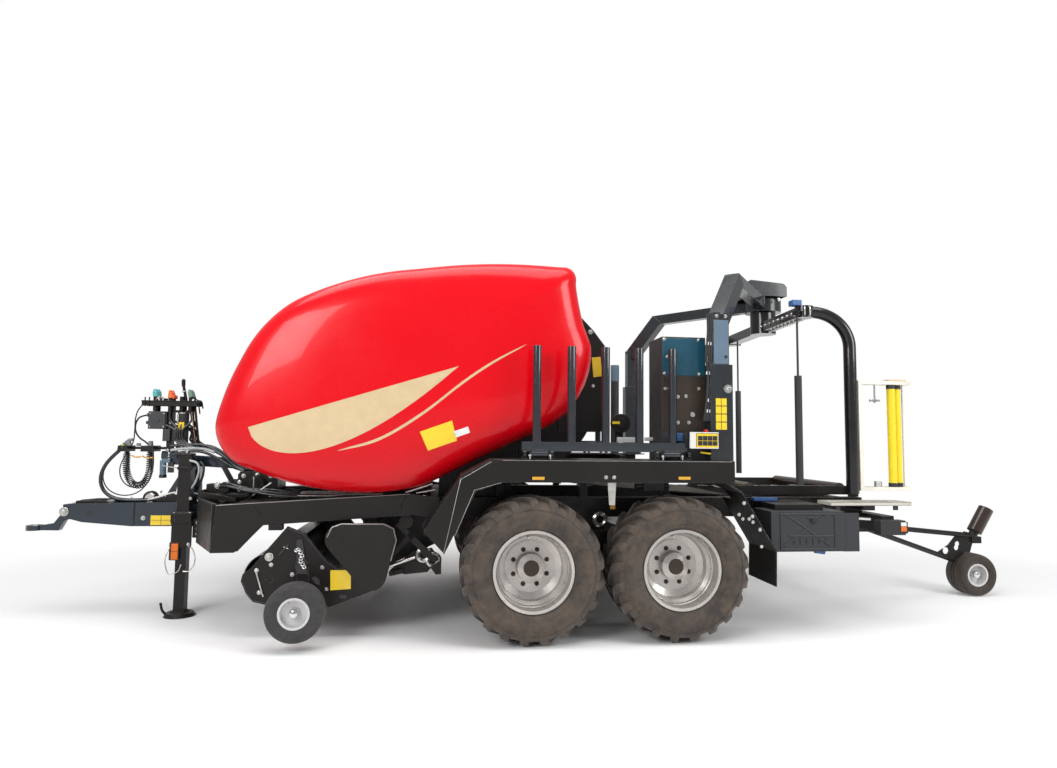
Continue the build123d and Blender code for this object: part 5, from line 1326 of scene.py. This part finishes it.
LINKAGE_Y = 0.90
with Build("feed_linkage", "zinc") as b:
    for x0, z0, x1, z1, radius in ((1.512, 1.070, 1.303, 1.141, 0.013), (1.431, 1.065, 1.280, 1.093, 0.010),
                                   (1.377, 1.049, 1.267, 1.011, 0.010), (1.621, 0.508, 1.425, 0.575, 0.014)):
        b.rod((x0, LINKAGE_Y, z0), (x1, LINKAGE_Y, z1), radius)
    for x, z in ((1.361, 0.591), (1.284, 0.552), (-0.035, 0.857)):
        b.ring([(-0.01, 0.045), (0.0, 0.062), (0.01, 0.045), (0.0, 0.030)], (x, LINKAGE_Y, z), segments=24)
with Build("feed_links", "matt_black", bevel=0.002) as b:
    for x0, z0, x1, z1, width in ((1.565, 0.833, 1.483, 0.752, 0.045), (1.450, 0.715, 1.301, 0.574, 0.050),
                                  (1.301, 0.574, 1.257, 0.552, 0.050), (1.479, 0.729, 1.595, 0.601, 0.040),
                                  (1.622, 0.450, 1.516, 0.470, 0.035), (1.356, 0.739, 1.203, 1.005, 0.030),
                                  (1.374, 0.803, 1.277, 0.983, 0.024)):
        b.slab((x0, LINKAGE_Y, z0), (x1, LINKAGE_Y, z1), width, 0.02, (0, 1, 0))
    b.plate([(1.310, 0.499), (1.225, 0.552), (1.223, 0.444), (1.266, 0.440)], (0.89, 0.91))
    b.plate([(1.620, 0.470), (1.450, 0.610), (1.300, 0.640), (1.240, 0.560), (1.330, 0.455), (1.500, 0.440)],
            (0.86, 0.88))
    b.disc(1.499, 0.849, (0.885, 0.915), 0.055)

FENDER_EDGE_Y = 1.3592
FENDER_FACE_Y = 1.361
# painted highlight on the fender's folds and along its top edge
with Build("fender_folds", "edge_highlight", both=True) as b:
    b.line([(0.879, 1.330), (1.100, 1.200), (1.213, 0.671)], FENDER_EDGE_Y, 0.003)
    b.line([(0.806, 1.178), (0.999, 1.124), (1.133, 0.799)], FENDER_EDGE_Y, 0.003)
    b.line([(0.80, 1.340), (-0.95, 1.340)], FENDER_EDGE_Y, 0.0025)
with Build("fender_reflectors", "amber_plastic", both=True) as b:
    b.box((0.489, 0.579), (1.360, 1.3655), (1.200, 1.222))
    b.box((-0.621, -0.529), (1.360, 1.3655), (1.205, 1.227))
block("low_reflector", "amber_plastic", (-0.144, -0.104), (0.9505, 0.962), (0.946, 1.003), both=True)
with Build("fender_bolts", "zinc", both=True) as b:
    b.bolts(FENDER_FACE_Y, 0.010, ((0.028, 1.220), (-0.033, 1.220)))
    b.bolts(1.353, 0.009, ((-1.005, 0.943), (-1.085, 0.911), (-1.115, 0.887), (-1.034, 0.911),
                           (-1.011, 0.704), (-1.181, 0.703)))
with Build("fender_stay", "zinc", both=True) as b:
    b.plate([(-0.024, 1.170), (-0.091, 1.170), (-0.081, 1.0), (-0.036, 1.0)], (1.190, 1.200))
with Build("brake_valve", "grey_plastic", "bare_steel", both=True) as b:
    b.box((-0.532, -0.364), (0.955, 1.010), (1.092, 1.170))
    b.rod((-0.364, 0.985, 1.130), (-0.300, 0.985, 1.130), 0.022)
    b.rod((-0.532, 0.985, 1.130), (-0.580, 0.985, 1.130), 0.018)

# ---------------------------------------------------------------- cabinet, mast, rack and tail plate
with Build("tail_plate_marks", "yellow", body="gate") as b:
    b.plate([(-0.016, 2.194), (-0.092, 2.202), (-0.108, 2.038), (-0.032, 2.024)], (0.6505, 0.6535))
with Build("gate_bolts", "zinc", body="gate", both=True) as b:
    b.bolt((-0.004, 0.651, 2.414), size=0.014)
    b.bolt((-0.030, 0.651, 1.950), size=0.010)
with Build("tank_cap", "mast_blue", "cabinet_paint") as b:
    b.post(-0.640, -1.000, (2.130, 2.3095), 0.047)
with Build("net_reel", "matt_black", bevel=0.003) as b:
    b.disc(-0.200, 1.630, (0.880, 0.930), 0.078)
    b.disc(-0.200, 1.630, (0.930, 0.945), 0.040)
    b.box((-0.230, -0.170), (0.840, 0.880), (1.480, 1.640))
block("net_reel_mark", "yellow", (-0.185, -0.125), (0.932, 0.947), (1.625, 1.645))
with Build("film_count_box", "white_plastic", bevel=0.004) as b:
    b.box((-0.309, -0.163), (0.930, 0.960), (1.477, 1.518))
    b.box((-0.475, -0.392), (0.930, 0.960), (1.491, 1.521))

block("cabinet_panel", "teal", (-0.806, -0.461), (1.198, 1.204), (2.006, 2.300), bevel=0.003)
block("cabinet_lower_panel", "bronze", (-0.806, -0.461), (1.198, 1.203), (1.570, 1.996), bevel=0.003)
with Build("cabinet_bolts", "zinc") as b:
    b.bolts(1.204, 0.010, ((-0.472, 2.290), (-0.753, 2.290), (-0.496, 2.150), (-0.475, 2.020),
                           (-0.757, 2.020), (-0.481, 1.900), (-0.754, 1.905), (-0.648, 1.843),
                           (-0.582, 1.839), (-0.670, 1.638), (-0.581, 1.636)))
    b.disc(-0.700, 1.700, (1.203, 1.212), 0.020)
block("cabinet_switch", "blue_plastic", (-0.605, -0.551), (1.201, 1.245), (1.490, 1.555), bevel=0.004)

PANEL_FACE_Y = 1.3485
with Build("panel_frame", "white_plastic", bevel=0.002) as b:
    b.box((-0.672, -0.626), (PANEL_FACE_Y - 0.004, PANEL_FACE_Y + 0.003), (1.442, 1.560))
    b.line([(-0.626, 1.443), (-0.848, 1.443), (-0.848, 1.559), (-0.626, 1.559), (-0.626, 1.443)],
           PANEL_FACE_Y, 0.005)
KEY_PITCH, KEY_SIDE = 0.039, 0.034
with Build("panel_keys", "black_plastic", "panel_plastic", bevel=0.002) as b:
    for left in steps(-0.838, KEY_PITCH, 4):
        for low in steps(1.462, KEY_PITCH, 2):
            b.box((left, left + KEY_SIDE), (PANEL_FACE_Y + 0.001, PANEL_FACE_Y + 0.007),
                  (low, low + KEY_SIDE))
block("panel_key_plate", "yellow", (-0.844, -0.677), (PANEL_FACE_Y - 0.003, PANEL_FACE_Y + 0.002),
      (1.448, 1.552), slot="panel_plastic")
with Build("panel_stop", "red_lens") as b:
    b.post(-0.760, 1.325, (1.561, 1.582), 0.018)
with Build("panel_lever", "yellow") as b:
    b.tube([(-0.731, 1.285, 1.409), (-0.800, 1.290, 1.400), (-0.925, 1.290, 1.405)], 0.008, per_run=0)

RACK_PIN_Z = 1.376
with Build("rack_pins", "zinc", both=True) as b:
    for x in (0.596, 0.444, -0.414, -0.566):
        b.post(x, 1.346, (RACK_PIN_Z - 0.028, RACK_PIN_Z), 0.005)
        b.bolt((x, 1.341, RACK_PIN_Z), size=0.007)
with Build("rack_latches", "gloss_black", bevel=0.003, both=True) as b:
    for x in (0.645, 0.442, -0.362, -0.612):
        b.rod((x, 1.318, 1.387), (x - 0.022, 1.318, 1.387), 0.030)
        b.rod((x - 0.011, 1.318, 1.357), (x - 0.011, 1.330, 1.357), 0.018)

MAST_FACE_Y = 1.3005
# pale blue-grey sheet on the near mast's outer face: painted reflection of the bright surroundings in its
# glossy dark paint
block("mast_painted_reflection", "mast_blue", (-0.960, -0.840), (1.294, 1.2985), (2.094, 2.440), bevel=0.003)
with Build("mast_pins", "chrome") as b:
    b.ring([(-0.002, 0.018), (0.010, 0.020), (0.010, 0.033), (-0.002, 0.036)],
           (-0.948, MAST_FACE_Y, 1.900), segments=24)
    b.bolt((-0.948, MAST_FACE_Y, 1.900), size=0.014)
# black disc where the mast has a hole: painted shade for the dark inside of the hole
with Build("painted_mast_hole_shade", "black_plastic", "panel_plastic") as b:
    b.disc(-0.937, 2.150, (1.297, 1.2995), 0.014)
with Build("mast_labels", "yellow") as b:
    for low in steps(1.585, 0.062, 4):
        for left in steps(-0.938, 0.046, 2):
            b.box((left, left + 0.041), (1.299, 1.3025), (low, low + 0.055))
with Build("mast_hoses", "rubber", "cable_rubber") as b:
    for offset in (0.0, 0.020, 0.040):
        b.tube([(x + offset, y, z) for x, y, z in (
            (-0.836, 1.285, 2.489), (-0.838, 1.286, 2.342), (-0.822, 1.286, 2.159), (-0.836, 1.286, 2.014),
            (-0.829, 1.286, 1.856), (-0.805, 1.284, 1.651))], 0.009)
with Build("hose_ties", "white_plastic") as b:
    for z in (2.250, 2.019, 1.808, 1.724):
        b.slab((-0.842, 1.286, z), (-0.782, 1.286, z + 0.004), 0.024, 0.012, (0, 1, 0))

# ---------------------------------------------------------------- wrapper details
ROTOR_X = -1.878
ROTOR_BEAM_Z = 2.600
BEAM_SWEEP, BEAM_REACH = 0.068, 0.900       # x and y from the rotor's axis to the beam's end
with Build("rotor_collars", "zinc", body="wrap_rotor") as b:
    for x in (-1.782, -1.830):
        b.rod((x, 0.95, ROTOR_BEAM_Z), (x - 0.010, 0.955, ROTOR_BEAM_Z), 0.048)
block("rotor_bracket", "blue_plastic", (-1.772, -1.690), (0.86, 0.94), (2.652, 2.700),
      body="wrap_rotor", bevel=0.004)
with Build("rotor_beam_bolts", "zinc", body="wrap_rotor") as b:
    for share in steps(0.12, 0.11, 8):
        b.bolt((ROTOR_X + BEAM_SWEEP * share + 0.062, BEAM_REACH * share, ROTOR_BEAM_Z), (1, 0, 0), 0.011)
    for share in steps(0.10, 0.09, 10):
        b.post(ROTOR_X + BEAM_SWEEP * share, BEAM_REACH * share, (2.554, 2.538), 0.014)

block("hood_marks", "black_plastic", (-1.790, -1.772), (0.2285, 0.2335), (2.800, 2.875),
      slot="panel_plastic")
with Build("hood_bolts", "zinc", both=True) as b:
    b.bolts(0.2305, 0.010, ((-1.62, 2.85), (-1.93, 2.85)))
with Build("gantry_bolts", "zinc", both=True) as b:
    b.bolts(1.296, 0.011, ((-0.935, 2.470), (-0.865, 2.470)))

WING_NUT_X, WING_NUT_Y = -2.378, 0.99
with Build("stretch_wing_nut", "chrome", body="wrap_rotor") as b:
    b.post(WING_NUT_X, WING_NUT_Y, (1.985, 1.830), 0.007)
    b.slab((-2.331, WING_NUT_Y, 1.851), (-2.424, WING_NUT_Y, 1.852), 0.020, 0.012, (0, 1, 0))
    b.post(WING_NUT_X, WING_NUT_Y, (1.838, 1.866), 0.014)
    b.post(-2.390, WING_NUT_Y, (1.130, 1.175), 0.030)
block("stretch_top_block", "beige", (-2.640, -2.480), (0.955, 1.035), (2.014, 2.030),
      body="wrap_rotor", bevel=0.005)
STRETCH_ROLLERS = ((-0.640, 1.003), (-0.705, 0.978))    # x and y from the rotor's axis
for name, way in (("stretch_roller_ends", 1), ("far_stretch_roller_ends", -1)):
    with Build(name, "black_plastic", "roller_plastic", body="wrap_rotor") as b:
        for x, y in STRETCH_ROLLERS:
            for low in (1.131, 1.950):
                b.post(ROTOR_X + way * x, way * y, (low, low + 0.033), 0.036)

block("table_blue_part", "blue_plastic", (-1.545, -1.340), (0.84, 0.90), (1.004, 1.030), bevel=0.003)
block("rail_lamp", "amber_plastic", (-1.574, -1.509), (0.9505, 0.975), (0.962, 0.985),
      bevel=0.003, both=True)
with Build("tray_brackets", "grey_plastic", "tray_paint", bevel=0.002, both=True) as b:
    for x in (-2.03, -2.28, -2.55):
        b.box((x - 0.02, x + 0.02), (0.97, 0.985), (0.935, 0.974))
# painted highlight along the tray's lips
with Build("tray_lip", "edge_highlight", "tray_paint", both=True) as b:
    b.tube([(-1.965, 1.000, 1.003), (-2.675, 1.000, 1.003)], 0.004, per_run=0)
    b.tube([(-1.965, 1.000, 0.976), (-2.675, 1.000, 0.976)], 0.003, per_run=0)

TOOLBOX_FACE_Y = 1.2505
with Build("toolbox_ribs", "grey_plastic") as b:
    for x0, z0, x1, z1 in ((-1.415, 0.945, -1.800, 0.690), (-1.800, 0.945, -1.415, 0.690),
                           (-1.390, 0.935, -1.390, 0.665), (-1.840, 0.935, -1.840, 0.665),
                           (-1.390, 0.935, -1.840, 0.935), (-1.390, 0.665, -1.840, 0.665),
                           (-1.455, 0.766, -1.829, 0.764), (-1.609, 0.905, -1.698, 0.905)):
        b.tube([(x0, TOOLBOX_FACE_Y, z0), (x1, TOOLBOX_FACE_Y, z1)], 0.007, per_run=0)
    for x in steps(-1.500, -0.052, 6):
        b.tube([(x, TOOLBOX_FACE_Y, 0.700), (x, TOOLBOX_FACE_Y, 0.745)], 0.006, per_run=0)
with Build("toolbox_lock", "black_plastic") as b:
    b.disc(-1.657, 0.889, (1.249, 1.262), 0.022)
    b.disc(-1.657, 0.889, (1.262, 1.268), 0.012)
with Build("toolbox_valve", "blue_plastic") as b:
    b.rod((-1.751, 1.10, 0.628), (-1.834, 1.10, 0.616), 0.020)
with Build("flap_bolts", "zinc", both=True) as b:
    b.bolts(1.355, 0.010, ((-1.045, 1.030), (-1.110, 0.930), (-1.170, 0.830)))
with Build("tail_beam_mark", "white", both=True) as b:
    b.plate([(-2.227, 0.872), (-2.341, 0.866), (-2.341, 0.848), (-2.227, 0.854)], (0.9505, 0.952))
block("lamp_lenses", "orange", (-2.555, -2.505), (1.0995, 1.108), (0.775, 0.812), bevel=0.004, both=True)
block("lamp_clear_lenses", "white_plastic", (-2.555, -2.505), (1.0995, 1.108), (0.816, 0.848),
      slot="lamp_lens", bevel=0.004, both=True)
block("lamp_red_lenses", "red_lens", (-2.582, -2.5745), (1.030, 1.082), (0.770, 0.838),
      bevel=0.003, both=True)

# ---------------------------------------------------------------- stage, camera and light
WHITE_FLOOR_STARTS = 2.6    # metres from the middle of the floor
WHITE_FLOOR_FULL = 5.2
WORLD_LIGHT = 0.42
CAMERA_PLACE = at(1.2518, 6.4094, 1.512)
CAMERA_TURN = (-0.1255, 0.0764, 0.0114)     # yaw, pitch and roll in radians
CAMERA_LENS = 23.56         # millimetres


def make_stage():
    """Pale floor that keeps the shadows near the machine and turns white towards the horizon."""
    bm = bmesh.new()
    bmesh.ops.create_circle(bm, cap_ends=True, segments=64, radius=90.0)
    mesh = bpy.data.meshes.new("floor")
    bm.to_mesh(mesh)
    bm.free()
    s = Shader("floor_white", (0.93, 0.93, 0.93), 0.7)
    s.set("Specular IOR Level", 0.1)
    s.bump(s.noise(8.0, 2.0), 0.001, 0.05)
    length = s.tree.nodes.new("ShaderNodeVectorMath")
    length.operation = "LENGTH"
    s.link(s.stretched((0.72, 1.0, 1.0)), length.inputs[0])
    far = s.ramp(length.outputs["Value"], WHITE_FLOOR_STARTS, WHITE_FLOOR_FULL)
    rays = s.tree.nodes.new("ShaderNodeLightPath")
    seen = s.math("MAXIMUM", rays.outputs["Is Camera Ray"], rays.outputs["Is Glossy Ray"])
    white = s.tree.nodes.new("ShaderNodeEmission")
    blend = s.tree.nodes.new("ShaderNodeMixShader")
    s.link(s.math("MULTIPLY", far, seen), blend.inputs[0])
    s.link(s.bsdf.outputs[0], blend.inputs[1])
    s.link(white.outputs[0], blend.inputs[2])
    s.link(blend.outputs[0], s.tree.nodes["Material Output"].inputs["Surface"])
    mesh.materials.append(s.material)
    floor = bpy.data.objects.new("floor", mesh)
    bpy.context.scene.collection.objects.link(floor)
    floor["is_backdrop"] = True


def make_world():
    """White to the camera, softer as a light and in reflections."""
    world = bpy.data.worlds.new("studio")
    bpy.context.scene.world = world
    world.use_nodes = True
    tree = world.node_tree
    background = tree.nodes["Background"]
    background.inputs["Color"].default_value = (1, 1, 1, 1)
    rays = tree.nodes.new("ShaderNodeLightPath")
    strength = tree.nodes.new("ShaderNodeMapRange")
    strength.inputs["To Min"].default_value = WORLD_LIGHT
    strength.inputs["To Max"].default_value = 1.0
    tree.links.new(rays.outputs["Is Camera Ray"], strength.inputs["Value"])
    tree.links.new(strength.outputs["Result"], background.inputs["Strength"])


def soft_light(name, place, target, power, size):
    data = bpy.data.lights.new(name, "AREA")
    data.shape = "RECTANGLE"
    data.size, data.size_y = size
    data.energy = power
    lamp = bpy.data.objects.new(name, data)
    lamp.location = place
    lamp.rotation_mode = "QUATERNION"
    lamp.rotation_quaternion = (Vector(target) - Vector(place)).to_track_quat("-Z", "Y")
    bpy.context.scene.collection.objects.link(lamp)


def make_camera():
    """Low camera on the machine's left, level with the beams."""
    yaw, pitch, roll = CAMERA_TURN
    forward = Vector((math.sin(yaw) * math.cos(pitch), -math.cos(yaw) * math.cos(pitch), math.sin(pitch)))
    level = Vector((-math.cos(yaw), -math.sin(yaw), 0))
    above = level.cross(forward)
    image_right = level * math.cos(roll) + above * math.sin(roll)
    image_up = above * math.cos(roll) - level * math.sin(roll)
    data = bpy.data.cameras.new("camera")
    data.sensor_width = 36.0
    data.lens = CAMERA_LENS
    data.clip_end = 200.0
    camera = bpy.data.objects.new("camera", data)
    turn = Matrix((image_right, image_up, -forward)).transposed()
    camera.matrix_world = Matrix.Translation(CAMERA_PLACE) @ turn.to_4x4()
    bpy.context.scene.collection.objects.link(camera)
    bpy.context.scene.camera = camera


make_stage()
make_world()
make_camera()
soft_light("top_bank", at(0.8, 1.5, 7.0), at(0.2, 0.0, 1.0), 420, (9.0, 4.0))
soft_light("front_bank", at(5.5, 6.5, 4.6), at(1.0, 0.5, 1.2), 300, (3.5, 3.0))
soft_light("rear_bank", at(-6.0, 5.0, 4.2), at(-1.5, 0.0, 1.2), 240, (3.0, 3.0))
bpy.context.scene.view_settings.view_transform = "Standard"

# ---------------------------------------------------------------- sizes
low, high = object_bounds()
